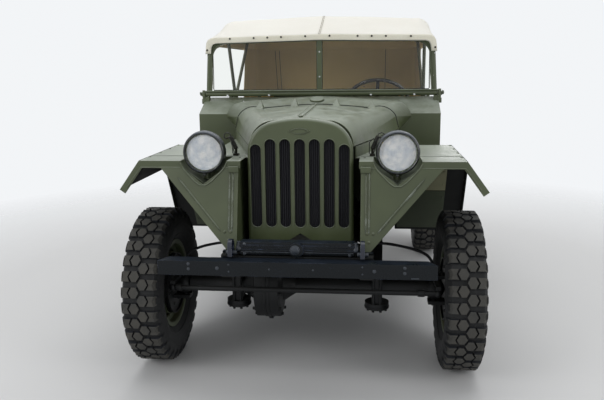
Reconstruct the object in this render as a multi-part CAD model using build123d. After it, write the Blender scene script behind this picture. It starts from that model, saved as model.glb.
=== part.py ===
from build123d import *
from math import cos, sin, tan, radians, degrees, atan2, sqrt
import os

# Light army 4x4 car with a canvas canopy. Millimetres, +Z up, ground at Z = 0.
# The car faces -Y. X = 0 is its middle plane and +X is the driver's side.
# The origin lies below the middle of the overall length.

# Overall layout
WHEELBASE = 2100.0
FRONT_AXLE_Y = -1175.0
REAR_AXLE_Y = FRONT_AXLE_Y + WHEELBASE
TRACK = 1446.0
BODY_HALF_WIDTH = 690.0
BUMPER_FRONT_Y = FRONT_AXLE_Y - 500.0
TAIL_Y = FRONT_AXLE_Y + 2850.0

# Metal thicknesses and running clearances
SKIN = 5.0
PLATE = 8.0
SEAT_GAP = 0.3
MIDDLE_GAP = 0.5

# Tyre and wheel
TYRE_RADIUS = 377.0
TYRE_WIDTH = 180.0
TREAD_WIDTH = 156.0
RIM_RADIUS = 203.0
RIM_WIDTH = 116.0
RIM_WALL = 6.0
RIM_WELL_DEPTH = 22.0
RIM_FLANGE = 14.0
DISC_HOLES = 6
DISC_OFFSET = 18.0
HUB_RADIUS = 58.0
HUB_CAP_RADIUS = 44.0
HUB_REACH = 90.0
HUB_INNER_REACH = 26.0
DRUM_RADIUS = 150.0
DRUM_WIDTH = 52.0
STUD_COUNT = 5
STUD_CIRCLE = 70.0
STUD_RADIUS = 11.0

# Frame
RAIL_X = 292.0
RAIL_WIDTH = 56.0
RAIL_BOTTOM_Z = 556.0
RAIL_TOP_Z = 654.0
RAIL_WALL = 8.0
RAIL_FRONT_Y = FRONT_AXLE_Y - 440.0
RAIL_REAR_Y = FRONT_AXLE_Y + 2590.0

# Bumper and front crossmember
BUMPER_HALF_LENGTH = 577.0
BUMPER_BOTTOM_Z = 581.0
BUMPER_TOP_Z = 643.0
BUMPER_DEPTH = 60.0
BUMPER_WALL = 8.0
BUMPER_TAPER = 34.0
CROSS_HALF_LENGTH = 240.0
CROSS_FRONT_Y = FRONT_AXLE_Y - 424.0
CROSS_DEPTH = 46.0
CROSS_TOP_Z = 708.0
CRANK_BOSS_RADIUS = 30.0
CRANK_BOSS_REACH = 14.0
CRANK_BORE_RADIUS = 13.0

# Tow hooks on the rail ends
HOOK_X = 276.0
HOOK_Z = 694.0
HOOK_Y = FRONT_AXLE_Y - 440.0
HOOK_EYE_RADIUS = 15.0
HOOK_OUTER_RADIUS = 30.0
HOOK_THICKNESS = 18.0
HOOK_CLEARANCE = 4.0

# Radiator shell
SHELL_FRONT_Y = FRONT_AXLE_Y - 268.0
SHELL_DEPTH = 96.0
SHELL_HALF_WIDTH = 234.0
SHELL_SHOULDER_HALF = 229.0
SHELL_BOTTOM_Z = 674.0
SHELL_SHOULDER_Z = 1062.0
SHELL_CROWN_Z = 1213.0
SHELL_CORNER_X = 116.0
SHELL_CORNER_Z = 1199.0
SHELL_BULGE_X = 199.0
SHELL_BULGE_Z = 1152.0
SHELL_EDGE = 16.0
SLOT_COUNT = 7
SLOT_PITCH = 64.0
SLOT_WIDTH = 49.0
SLOT_BOTTOM_Z = 735.0
SLOT_TOP_Z = 1125.0
SLOT_OUTER_TOP_Z = 1102.0
NOTCH_HALF_WIDTH = 58.0
NOTCH_TOP_Z = 708.0
BADGE_Z = 1158.0
BADGE_HALF_WIDTH = 40.0
BADGE_HALF_HEIGHT = 14.0
BADGE_PROUD = 3.0

# Radiator and engine
RADIATOR_DEPTH = 45.0
RADIATOR_HALF_WIDTH = 219.0
RADIATOR_BOTTOM_Z = 700.0
RADIATOR_TOP_Z = 1126.0
ENGINE_FRONT_Y = FRONT_AXLE_Y - 30.0
ENGINE_LENGTH = 590.0
ENGINE_HALF_WIDTH = 160.0
ENGINE_BOTTOM_Z = 560.0
ENGINE_TOP_Z = 1060.0
SHIELD_RISE = 46.0
EXHAUST_X = ENGINE_HALF_WIDTH + 60.0
EXHAUST_START_Y = ENGINE_FRONT_Y + 330.0
EXHAUST_RADIUS = 20.0
EXHAUST_DROP_RUN = 60.0
GEARBOX_LENGTH = 560.0
GEARBOX_HALF_WIDTH = 120.0
GEARBOX_TOP_Z = 640.0
TRANSFER_X = -172.0
TRANSFER_HALF_WIDTH = 110.0
TRANSFER_LENGTH = 260.0
TRANSFER_BOTTOM_Z = 340.0

# Hood
HOOD_FRONT_Y = SHELL_FRONT_Y + 64.0
HOOD_REAR_Y = FRONT_AXLE_Y + 578.0
HOOD_SKIN = 4.0
HOOD_GAP = 5.0
HOOD_EDGE_FRONT = (230.0, 1086.0)
HOOD_SIDE_FRONT = (229.0, 1098.0)
HOOD_SHOULDER_FRONT = (SHELL_CORNER_X, SHELL_CORNER_Z)
HOOD_CROWN_FRONT_Z = SHELL_CROWN_Z
HOOD_EDGE_REAR = (452.0, 1088.0)
HOOD_SIDE_REAR = (436.0, 1158.0)
HOOD_SHOULDER_REAR = (300.0, 1202.0)
HOOD_CROWN_REAR_Z = 1224.0
HINGE_ROD_RADIUS = 7.0
HINGE_GAP = 0.5
SHELL_STEP = HOOD_SKIN + HOOD_GAP + SEAT_GAP
LATCH_X = 312.0
LATCH_Y = FRONT_AXLE_Y - 100.0
GILL_HEIGHT = 46.0
GILL_LENGTH = 60.0
GILL_WIDTH = 44.0
GILL_X = (114.0, 306.0)

# Front fenders
FENDER_FRONT_Y = FRONT_AXLE_Y - 294.0
FENDER_TOP_Z = 1032.0
FENDER_LIP = 30.0
FENDER_INNER_X = 256.0
FENDER_FLAT_X = 708.0
FENDER_OUTER_X = 802.0
FENDER_FLAP_Z = 903.0
FENDER_CREASE_Y = FRONT_AXLE_Y + 310.0
FENDER_FOOT_Y = FRONT_AXLE_Y + 600.0
FENDER_FOOT_Z = 524.0
FENDER_TAIL_X = 456.0
FENDER_SIDE_INNER_X = 442.0
LEDGE_GAP = 5.0
GUSSET_TOP_X = 610.0
GUSSET_TIP_X = 302.0
GUSSET_TIP_Y = FRONT_AXLE_Y - 385.0
GUSSET_RIB = 8.0
APRON_X = 264.0

# Headlamps
LAMP_X = 419.0
LAMP_Z = 1066.0
LAMP_FRONT_Y = FRONT_AXLE_Y - 280.0
LAMP_RIM_RADIUS = 91.0
LAMP_GLASS_RADIUS = 82.0
LAMP_RIM_DEPTH = 26.0
LAMP_DEPTH = 130.0
LAMP_RECESS_RADIUS = 108.0
LAMP_RECESS_TIP = 26.0
LAMP_NECK_RADIUS = 16.0

# Scuttle
SCUTTLE_FRONT_Y = FRONT_AXLE_Y + 695.0
SCUTTLE_REAR_Y = FRONT_AXLE_Y + 880.0
SCUTTLE_TOP_FRONT_Z = 1165.0
SCUTTLE_TOP_REAR_Z = 1252.0
SCUTTLE_HALF_WIDTH = BODY_HALF_WIDTH
BULGE_FRONT_Y = HOOD_REAR_Y + HOOD_GAP
BULGE_REAR_Y = SCUTTLE_FRONT_Y
BULGE_EDGE_REAR = (470.0, 1086.0)
BULGE_SIDE_REAR = (528.0, 1150.0)
BULGE_SHOULDER_REAR = (420.0, 1232.0)
BULGE_CROWN_REAR_Z = 1258.0
FILLER_Y = FRONT_AXLE_Y + 650.0
FILLER_RADIUS = 40.0
FILLER_HEIGHT = 9.0
DASH_BOTTOM_Z = 1090.0
TANK_HALF_WIDTH = 400.0
TANK_BOTTOM_Z = 960.0
TANK_TOP_Z = 1140.0

# Body tub
FLOOR_Z = RAIL_TOP_Z + SEAT_GAP
SILL_Z = 548.0
BODY_REAR_Y = FRONT_AXLE_Y + 2625.0
BODY_TOP_Z = 1090.0
DOOR_FRONT_Y = FRONT_AXLE_Y + 940.0
DOOR_REAR_Y = FRONT_AXLE_Y + 1530.0
DOOR_BOTTOM_Z = 742.0
DOOR_FRONT_TOP_Z = 1105.0
DOOR_CORNER = 110.0
DOOR_TOP_RADIUS = 60.0
BODY_TUBE_RADIUS = 12.0
TOE_TOP_Z = 800.0
TOE_REAR_Y = FRONT_AXLE_Y + 860.0
TUNNEL_HALF_WIDTH = 130.0
TUNNEL_TOP_Z = 740.0
TUNNEL_REAR_Y = FRONT_AXLE_Y + 1240.0
WELL_HALF_LENGTH = 462.0
TAIL_LAMP_X = 560.0
TAIL_LAMP_Z = 900.0
WHEEL_BOX_X = 606.0
REAR_FENDER_OUTER_X = 812.0
REAR_FENDER_TOP_Z = 846.0
REAR_FENDER_HALF_TOP = 300.0
REAR_FENDER_HALF_FOOT = 450.0
REAR_FENDER_LIP = 42.0

# Windscreen
SCREEN_Y = FRONT_AXLE_Y + 850.0
SCREEN_TUBE_RADIUS = 13.0
SCREEN_BASE_Z = 1272.0
SCREEN_BASE_REACH = 704.0
SCREEN_BRACKET_X = 676.0
SCREEN_HALF_WIDTH = 667.0
SCREEN_SHOULDER_Z = 1581.0
SCREEN_TOP_Z = 1593.0
SCREEN_TOP_HALF = 648.0
SCREEN_CORNER = 100.0
SCREEN_POST_WIDTH = 33.0
SCREEN_BAR = 8.0
SCREEN_BAR_DEPTH = 16.0
SCREEN_GLASS_BOTTOM_Z = 1294.0
GLASS_THICKNESS = 5.0

# Canopy
CANOPY_SKIN = 5.0
CANOPY_HEM = 31.0
BOW_RADIUS = 11.0
BOW_PIVOT_X = BODY_HALF_WIDTH - 35.0
BOW_PIVOT_Y = FRONT_AXLE_Y + 1575.0
BOW_PIVOT_Z = 1215.0
FRONT_BOW_Y = FRONT_AXLE_Y + 1225.0
REAR_BOW_Y = FRONT_AXLE_Y + 2066.0
CANOPY_REAR_Y = FRONT_AXLE_Y + 2390.0
CURTAIN_FOOT_Y = BODY_REAR_Y - 40.0
CURTAIN_FRONT_Y = FRONT_AXLE_Y + 1950.0
CURTAIN_LOW_HALF = 675.0
CURTAIN_LOW_Z = 1085.0
CURTAIN_TOP_FRONT_HALF = 664.0
CURTAIN_TOP_REAR_HALF = 646.0
CURTAIN_TOP_Z = 1575.0
# Roof sections: place, half width of the low edge, its height, half width of the shoulder,
# its height, crown height and corner radius
ROOF_SECTIONS = (
    (FRONT_AXLE_Y + 828.0, 673.0, 1509.0, 664.0, 1600.0, 1612.0, 90.0),
    (FRONT_BOW_Y, 682.0, 1560.0, 646.0, 1718.0, 1742.0, 90.0),
    (REAR_BOW_Y, 682.0, 1560.0, 646.0, 1718.0, 1742.0, 90.0),
    (CANOPY_REAR_Y, 672.0, 1540.0, 626.0, 1680.0, 1702.0, 90.0),
)

# Seats
SEAT_X = 338.0
SEAT_FRONT_Y = FRONT_AXLE_Y + 1290.0
SEAT_DEPTH = 430.0
SEAT_HALF_WIDTH = 225.0
SEAT_BASE_Z = 860.0
SEAT_PAD = 90.0
SEAT_BACK_TOP_Z = 1245.0
SEAT_BACK_PAD = 70.0
SEAT_RAKE = 14.0
SEAT_TUBE_RADIUS = 12.0
SEAT_TUBE_FOOT = 7.0
BENCH_RAKE = 7.0
BENCH_FRONT_Y = FRONT_AXLE_Y + 2030.0
BENCH_DEPTH = 430.0
BENCH_HALF_WIDTH = 560.0

# Steering
STEER_WHEEL_X = 341.0
STEER_WHEEL_Y = FRONT_AXLE_Y + 1253.0
STEER_WHEEL_Z = 1185.0
STEER_WHEEL_RADIUS = 200.0
STEER_RIM_RADIUS = 11.0
COLUMN_ANGLE = 38.0
COLUMN_RADIUS = 24.0
STEER_HUB_HEIGHT = 46.0
KINGPIN_X = 612.0
BALL_HOUSING_RADIUS = 50.0
SPINDLE_RADIUS = 24.0
SPINDLE_CLEARANCE = 0.5
STEER_ARM = 200.0
STEER_ARM_RISE = 44.0
TIE_ROD_RADIUS = 11.0
BALL_RADIUS = 17.0
HOSE_RADIUS = 7.0
HOSE_END_Z = 462.0
# Way of the brake hose from the rail down to the knuckle
HOSE_ROUTE = (
    (RAIL_X + RAIL_WIDTH / 2 + SEAT_GAP, FRONT_AXLE_Y + 110.0, 567.0),
    (RAIL_X + RAIL_WIDTH / 2 + 60.0, FRONT_AXLE_Y + 110.0, 567.0),
    (RAIL_X + RAIL_WIDTH / 2 + 120.0, FRONT_AXLE_Y + 80.0, 566.0),
    (KINGPIN_X - 75.0, FRONT_AXLE_Y + 35.0, 556.0),
    (KINGPIN_X - 10.0, FRONT_AXLE_Y + 6.0, 525.0),
    (KINGPIN_X, FRONT_AXLE_Y, HOSE_END_Z),
)

# Axles and springs
AXLE_TUBE_RADIUS = 38.0
DIFF_X = -182.0
DIFF_RADIUS = 152.0
DIFF_FLANGE_WIDTH = 112.0
DIFF_BELL_LENGTH = 128.0
DIFF_NOSE = 215.0
SHAFT_RADIUS = 24.0
JOINT_RADIUS = 34.0
FRONT_SPRING_X = 340.0
SPRING_WIDTH = 50.0
LEAF_THICKNESS = 9.0
FRONT_SPRING_LENGTH = 470.0
FRONT_SPRING_LEAVES = 6
REAR_SPRING_X = 352.0
REAR_SPRING_HALF = 480.0
REAR_SPRING_LEAVES = 8

# Spare wheel on the tail
SPARE_Z = 900.0

# Corners: name, side (+1 left, -1 right), place of the axle
CORNERS = (
    ("front_left", 1, FRONT_AXLE_Y),
    ("front_right", -1, FRONT_AXLE_Y),
    ("rear_left", 1, REAR_AXLE_Y),
    ("rear_right", -1, REAR_AXLE_Y),
)


def box(x0, x1, y0, y1, z0, z1):
    """A block between two corners."""
    middle = ((x0 + x1) / 2, (y0 + y1) / 2, (z0 + z1) / 2)
    return Pos(*middle) * Box(abs(x1 - x0), abs(y1 - y0), abs(z1 - z0))


def along_x(face_points, x0, x1, radius=0.0):
    """A plate whose outline lies in Y and Z, extruded from x0 to x1."""
    low, high = min(x0, x1), max(x0, x1)
    outline = Polygon(*face_points, align=None)
    if radius:
        outline = fillet(outline.vertices(), radius)
    return extrude(Plane.YZ.offset(low) * outline, high - low, dir=(1, 0, 0))


def along_y(outline, y0, y1):
    """A sketch in X and Z, extruded from y0 to y1."""
    return extrude(Plane.XZ.offset(-y0) * outline, y1 - y0, dir=(0, 1, 0))


def xz_polygon(points):
    return Polygon(*points, align=None)


def rod(start, end, radius):
    """A round bar between two points."""
    way = Vector(*end) - Vector(*start)
    return Plane(origin=start, z_dir=way) * Cylinder(
        radius, way.length, align=(Align.CENTER, Align.CENTER, Align.MIN)
    )


def bent_tube(points, bend, radius):
    """A round bar along straight runs joined by arcs of one bend radius."""
    path = FilletPolyline(*points, radius=bend)
    return sweep(Plane(origin=path @ 0, z_dir=path % 0) * Circle(radius), path=path)


def mirrored(shape):
    return mirror(shape, about=Plane.YZ)


def both_sides(shape):
    return [shape, mirrored(shape)]


def save(name, *pieces):
    """Write one node as a file; its pieces are separate solids."""
    solids = [solid for piece in pieces for solid in piece.solids()]
    export_step(Compound(children=solids), f"parts/{name}.step")


# Frame: two channel rails, open to the middle, with crossmembers between them
def rail(x_sign):
    outer = box(RAIL_X - RAIL_WIDTH / 2, RAIL_X + RAIL_WIDTH / 2,
                RAIL_FRONT_Y, RAIL_REAR_Y, RAIL_BOTTOM_Z, RAIL_TOP_Z)
    hollow = box(RAIL_X - RAIL_WIDTH / 2 - 1, RAIL_X + RAIL_WIDTH / 2 - RAIL_WALL,
                 RAIL_FRONT_Y - 1, RAIL_REAR_Y + 1,
                 RAIL_BOTTOM_Z + RAIL_WALL, RAIL_TOP_Z - RAIL_WALL)
    shape = outer - hollow
    return shape if x_sign > 0 else mirrored(shape)


# Crossmembers: distance behind the front axle and depth
CROSSMEMBERS = ((-395.0, 60.0), (-225.0, 70.0), (640.0, 70.0), (1330.0, 70.0), (1980.0, 70.0),
                (2555.0, 70.0))
GEARBOX_SEAT_Y = FRONT_AXLE_Y + 640.0


def frame():
    reach = RAIL_X + RAIL_WIDTH / 2 - RAIL_WALL
    shape = rail(1) + rail(-1)
    for distance, depth in CROSSMEMBERS:
        middle = FRONT_AXLE_Y + distance
        member = box(-reach, reach, middle - depth / 2, middle + depth / 2,
                     RAIL_BOTTOM_Z + RAIL_WALL, RAIL_TOP_Z - RAIL_WALL)
        groove = box(-reach - 1, reach + 1, middle - depth / 2 + RAIL_WALL,
                     middle + depth / 2 - RAIL_WALL,
                     RAIL_BOTTOM_Z + RAIL_WALL - 1, RAIL_TOP_Z - 2 * RAIL_WALL)
        shape = shape + (member - groove)
    return shape


def bumper():
    back_y = BUMPER_FRONT_Y + BUMPER_DEPTH
    outline = Polygon(
        (-BUMPER_HALF_LENGTH, BUMPER_FRONT_Y), (BUMPER_HALF_LENGTH, BUMPER_FRONT_Y),
        (BUMPER_HALF_LENGTH - BUMPER_TAPER, back_y), (-BUMPER_HALF_LENGTH + BUMPER_TAPER, back_y),
        align=None,
    )
    shape = extrude(Plane.XY.offset(BUMPER_BOTTOM_Z) * outline, BUMPER_TOP_Z - BUMPER_BOTTOM_Z,
                    dir=(0, 0, 1))
    channel = box(-BUMPER_HALF_LENGTH - 1, BUMPER_HALF_LENGTH + 1,
                  BUMPER_FRONT_Y + BUMPER_WALL, back_y + 1,
                  BUMPER_BOTTOM_Z + BUMPER_WALL, BUMPER_TOP_Z - BUMPER_WALL)
    shape = shape - channel
    for side in (-1, 1):
        seat_x = side * RAIL_X
        shape = shape + box(seat_x - RAIL_WIDTH / 2, seat_x + RAIL_WIDTH / 2,
                            BUMPER_FRONT_Y + BUMPER_WALL, RAIL_FRONT_Y - SEAT_GAP,
                            BUMPER_BOTTOM_Z + BUMPER_WALL, BUMPER_TOP_Z - BUMPER_WALL)
    return shape


def front_crossmember():
    shape = box(-CROSS_HALF_LENGTH, CROSS_HALF_LENGTH, CROSS_FRONT_Y,
                CROSS_FRONT_Y + CROSS_DEPTH, RAIL_TOP_Z + SEAT_GAP, CROSS_TOP_Z)
    rib_height = 7.0
    for rib_z in (CROSS_TOP_Z - 16.0, CROSS_TOP_Z - 34.0):
        shape = shape + box(-CROSS_HALF_LENGTH, CROSS_HALF_LENGTH, CROSS_FRONT_Y - 5.0,
                            CROSS_FRONT_Y, rib_z - rib_height / 2, rib_z + rib_height / 2)
    foot = box(-RAIL_X - RAIL_WIDTH / 2, RAIL_X + RAIL_WIDTH / 2,
               HOOK_Y + HOOK_OUTER_RADIUS + HOOK_CLEARANCE, GUSSET_TIP_Y - SEAT_GAP,
               RAIL_TOP_Z + SEAT_GAP, RAIL_TOP_Z + PLATE)
    boss_z = CROSS_TOP_Z - 30.0
    boss = Pos(0, CROSS_FRONT_Y - CRANK_BOSS_REACH, boss_z) * Rot(-90, 0, 0) * Cylinder(
        CRANK_BOSS_RADIUS, CRANK_BOSS_REACH + CROSS_DEPTH,
        align=(Align.CENTER, Align.CENTER, Align.MIN))
    bore = Pos(0, CROSS_FRONT_Y - CRANK_BOSS_REACH - 1, boss_z) * Rot(-90, 0, 0) * Cylinder(
        CRANK_BORE_RADIUS, CRANK_BOSS_REACH + CROSS_DEPTH + 2,
        align=(Align.CENTER, Align.CENTER, Align.MIN))
    return shape + foot + boss - bore


def tow_hook():
    """An upright eye on the top of a rail end."""
    base_z = RAIL_TOP_Z + SEAT_GAP
    outline = Pos(HOOK_Y, HOOK_Z) * Circle(HOOK_OUTER_RADIUS)
    stem = Pos(HOOK_Y, (base_z + HOOK_Z) / 2) * Rectangle(2 * HOOK_OUTER_RADIUS, HOOK_Z - base_z)
    hole = Pos(HOOK_Y, HOOK_Z) * Circle(HOOK_EYE_RADIUS)
    eye = Plane.YZ.offset(HOOK_X - HOOK_THICKNESS / 2) * (outline + stem - hole)
    return extrude(eye, HOOK_THICKNESS, dir=(1, 0, 0))


# Radiator shell
def shell_outline(inset=0.0):
    """Outline of the shell's front, set in by a wall."""
    low_x, low_z = SHELL_HALF_WIDTH - inset, SHELL_BOTTOM_Z + (0 if not inset else -1)
    shoulder_x, shoulder_z = SHELL_SHOULDER_HALF - inset, SHELL_SHOULDER_Z
    bulge = (SHELL_BULGE_X - 0.7 * inset, SHELL_BULGE_Z - 0.7 * inset)
    corner = (SHELL_CORNER_X - 0.2 * inset, SHELL_CORNER_Z - inset)
    crown = (0, SHELL_CROWN_Z - inset)
    right = [
        Line((low_x, low_z), (shoulder_x, shoulder_z)),
        ThreePointArc((shoulder_x, shoulder_z), bulge, corner),
    ]
    left = [
        Line((-low_x, low_z), (-shoulder_x, shoulder_z)),
        ThreePointArc((-shoulder_x, shoulder_z), (-bulge[0], bulge[1]), (-corner[0], corner[1])),
    ]
    top = ThreePointArc(corner, crown, (-corner[0], corner[1]))
    bottom = Line((-low_x, low_z), (low_x, low_z))
    return make_face(Wire(right + left + [top, bottom]))


def slot_outline(top_z):
    height = top_z - SLOT_BOTTOM_Z
    return Pos(0, SLOT_BOTTOM_Z + height / 2) * SlotOverall(height, SLOT_WIDTH, rotation=90)


def grille_shell():
    back_y = SHELL_FRONT_Y + SHELL_DEPTH
    step_y = HOOD_FRONT_Y - HOOD_GAP
    shape = along_y(shell_outline(), SHELL_FRONT_Y, step_y)
    rim = shape.edges().group_by(Axis.Y)[0].sort_by(Axis.Z)[1:]
    shape = fillet(rim, SHELL_EDGE)
    shape = shape + along_y(shell_outline(SHELL_STEP), step_y - SKIN, back_y)
    shape = shape - along_y(shell_outline(SKIN), SHELL_FRONT_Y + PLATE, step_y - SKIN)
    shape = shape - along_y(shell_outline(SHELL_STEP + SKIN), step_y - SKIN - 1, back_y + 1)
    for number in range(SLOT_COUNT):
        place = (number - (SLOT_COUNT - 1) / 2) * SLOT_PITCH
        outermost = number in (0, SLOT_COUNT - 1)
        outline = slot_outline(SLOT_OUTER_TOP_Z if outermost else SLOT_TOP_Z)
        shape = shape - along_y(Pos(place, 0) * outline, SHELL_FRONT_Y - 1, SHELL_FRONT_Y + PLATE + 1)
    notch = xz_polygon([(-NOTCH_HALF_WIDTH, SHELL_BOTTOM_Z - 1), (0, NOTCH_TOP_Z),
                        (NOTCH_HALF_WIDTH, SHELL_BOTTOM_Z - 1)])
    shape = shape - along_y(notch, SHELL_FRONT_Y - 1, SHELL_FRONT_Y + PLATE + 1)
    badge = Pos(0, BADGE_Z) * Ellipse(BADGE_HALF_WIDTH, BADGE_HALF_HEIGHT)
    return shape + along_y(badge, SHELL_FRONT_Y - BADGE_PROUD, SHELL_FRONT_Y)


def radiator():
    front_y = SHELL_FRONT_Y + PLATE + SEAT_GAP
    core = box(-RADIATOR_HALF_WIDTH, RADIATOR_HALF_WIDTH, front_y, front_y + RADIATOR_DEPTH,
               RADIATOR_BOTTOM_Z, RADIATOR_TOP_Z)
    core = fillet(core.edges().filter_by(Axis.Y).group_by(Axis.Z)[-1], 70.0)
    foot_bottom = RAIL_TOP_Z - RAIL_WALL + SEAT_GAP
    feet = [box(x - 30, x + 30, front_y + 10, front_y + RADIATOR_DEPTH, foot_bottom, RADIATOR_BOTTOM_Z)
            for x in (-150, 150)]
    return core + feet[0] + feet[1]


# Engine and gearbox as plain masses
def engine():
    rear_y = ENGINE_FRONT_Y + ENGINE_LENGTH
    block = box(-ENGINE_HALF_WIDTH, ENGINE_HALF_WIDTH, ENGINE_FRONT_Y, rear_y,
                ENGINE_BOTTOM_Z, ENGINE_TOP_Z)
    arm_y = ENGINE_FRONT_Y + 160.0
    reach = RAIL_X - RAIL_WIDTH / 2 - SEAT_GAP
    arms = box(-reach, reach, arm_y - 30, arm_y + 30, RAIL_TOP_Z - 40, RAIL_TOP_Z - 20)
    return block + arms


def splash_shield():
    """A sheet that closes the space between a frame rail and the engine."""
    rail_x, engine_x = RAIL_X - RAIL_WIDTH / 2 - SEAT_GAP, ENGINE_HALF_WIDTH + SEAT_GAP
    low_z, high_z = RAIL_TOP_Z - PLATE - SKIN, RAIL_TOP_Z + SHIELD_RISE
    outline = xz_polygon([(rail_x, low_z), (rail_x, low_z + SKIN), (engine_x, high_z + SKIN),
                          (engine_x, high_z)])
    front_y = SHELL_FRONT_Y + SHELL_DEPTH + LEDGE_GAP
    sheet = along_y(outline, front_y, ENGINE_FRONT_Y + ENGINE_LENGTH)
    # Passage for the exhaust pipe
    room = EXHAUST_RADIUS + LEDGE_GAP
    return sheet - box(EXHAUST_X - room, EXHAUST_X + room, EXHAUST_START_Y - room,
                       EXHAUST_START_Y + EXHAUST_DROP_RUN + room, low_z - 1, high_z + PLATE)


def gearbox():
    front_y = ENGINE_FRONT_Y + ENGINE_LENGTH + SEAT_GAP
    rear_y = front_y + GEARBOX_LENGTH
    housing = box(-GEARBOX_HALF_WIDTH, GEARBOX_HALF_WIDTH, front_y, rear_y,
                  RAIL_BOTTOM_Z - 150, RAIL_BOTTOM_Z)
    neck = box(-90, 90, front_y, GEARBOX_SEAT_Y - 40, RAIL_BOTTOM_Z, GEARBOX_TOP_Z)
    transfer = box(TRANSFER_X - TRANSFER_HALF_WIDTH, TRANSFER_X + TRANSFER_HALF_WIDTH,
                   rear_y - TRANSFER_LENGTH, rear_y, TRANSFER_BOTTOM_Z, RAIL_BOTTOM_Z - 20)
    seat = box(-60, 60, GEARBOX_SEAT_Y - 30, GEARBOX_SEAT_Y + 30,
               RAIL_BOTTOM_Z, RAIL_BOTTOM_Z + RAIL_WALL - SEAT_GAP)
    return housing + neck + transfer + seat


# Hood halves, hinged on the middle rod
def hood_section(edge, side, shoulder, crown_z, skin=0.0, inner=HINGE_ROD_RADIUS + HINGE_GAP):
    """Points of one half section in X and Z, set in by a skin."""
    return [
        (edge[0] - skin, edge[1]),
        (side[0] - skin, side[1]),
        (shoulder[0] - 0.5 * skin, shoulder[1] - 0.9 * skin),
        (inner, crown_z - skin),
    ]


def half_shell_face(edge, side, shoulder, crown_z, y, skin, inner):
    """A closed band: rounded side, then a gentle arc up to the middle."""
    def chain(points):
        low, wide, turn, top = points
        middle = ((wide[0] + turn[0]) / 2, (wide[1] + turn[1]) / 2)
        way = (turn[0] - wide[0], turn[1] - wide[1])
        reach = sqrt(way[0] ** 2 + way[1] ** 2)
        bow = 0.2 * reach
        out = (middle[0] + way[1] / reach * bow, middle[1] - way[0] / reach * bow)
        flat = ((turn[0] + top[0]) / 2, (turn[1] + top[1]) / 2 + 3.0)
        return [Line(low, wide), ThreePointArc(wide, out, turn), ThreePointArc(turn, flat, top)]

    outer = hood_section(edge, side, shoulder, crown_z, 0.0, inner)
    inside = hood_section(edge, side, shoulder, crown_z, skin, inner)
    closing = [Line(outer[0], inside[0]), Line(outer[-1], inside[-1])]
    face = make_face(Wire(chain(outer) + chain(inside) + closing))
    return Plane.XZ.offset(-y) * face


def gill(x):
    """A small raised vent, open to the rear, on the rear edge of the hood."""
    share = 1 - x / HOOD_EDGE_REAR[0]
    base_z = HOOD_SHOULDER_REAR[1] + (HOOD_CROWN_REAR_Z - HOOD_SHOULDER_REAR[1]) * min(1, 1.2 * share)
    base_z = base_z - 6.0
    front = xz_polygon([(x - GILL_WIDTH / 2, base_z), (x + GILL_WIDTH / 2, base_z),
                        (x, base_z + GILL_HEIGHT)])
    wedge = along_x([(HOOD_REAR_Y - GILL_LENGTH, base_z), (HOOD_REAR_Y, base_z),
                     (HOOD_REAR_Y, base_z + GILL_HEIGHT)], x - GILL_WIDTH, x + GILL_WIDTH)
    return along_y(front, HOOD_REAR_Y - GILL_LENGTH, HOOD_REAR_Y) & wedge


def hood_half():
    inner = HINGE_ROD_RADIUS + HINGE_GAP
    front = half_shell_face(HOOD_EDGE_FRONT, HOOD_SIDE_FRONT, HOOD_SHOULDER_FRONT,
                            HOOD_CROWN_FRONT_Z, HOOD_FRONT_Y, HOOD_SKIN, inner)
    rear = half_shell_face(HOOD_EDGE_REAR, HOOD_SIDE_REAR, HOOD_SHOULDER_REAR,
                           HOOD_CROWN_REAR_Z, HOOD_REAR_Y, HOOD_SKIN, inner)
    shape = loft([front, rear], ruled=True)
    for x in GILL_X:
        shape = shape + gill(x)
    return shape


def hinge_line():
    """Middle of the hinge rod at its front and rear ends."""
    front = (0, HOOD_FRONT_Y, HOOD_CROWN_FRONT_Z - HOOD_SKIN / 2)
    rear = (0, HOOD_REAR_Y + HOOD_GAP - SEAT_GAP, HOOD_CROWN_REAR_Z - HOOD_SKIN / 2)
    return front, rear


def hood_hinge():
    front, rear = hinge_line()
    return rod(front, rear, HINGE_ROD_RADIUS)


# Front fenders
def fender_slope_points(inset):
    """The crease and the foot of the sloping rear plate, set in below it."""
    run, drop = FENDER_FOOT_Y - FENDER_CREASE_Y, FENDER_TOP_Z - FENDER_FOOT_Z
    length = sqrt(run ** 2 + drop ** 2)
    step = (-drop / length * inset, -run / length * inset)
    return ((FENDER_CREASE_Y + step[0], FENDER_TOP_Z + step[1]),
            (FENDER_FOOT_Y + step[0], FENDER_FOOT_Z + step[1]))


def slope_y(z):
    share = (FENDER_TOP_Z - z) / (FENDER_TOP_Z - FENDER_FOOT_Z)
    return FENDER_CREASE_Y + share * (FENDER_FOOT_Y - FENDER_CREASE_Y)


def recess_outline(grow=0.0):
    radius = LAMP_RECESS_RADIUS + grow
    return Circle(radius) + Polygon(
        (-0.707 * radius, -0.707 * radius), (0.707 * radius, -0.707 * radius),
        (0, -LAMP_RECESS_RADIUS - LAMP_RECESS_TIP - 1.4 * grow), align=None)


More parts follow.
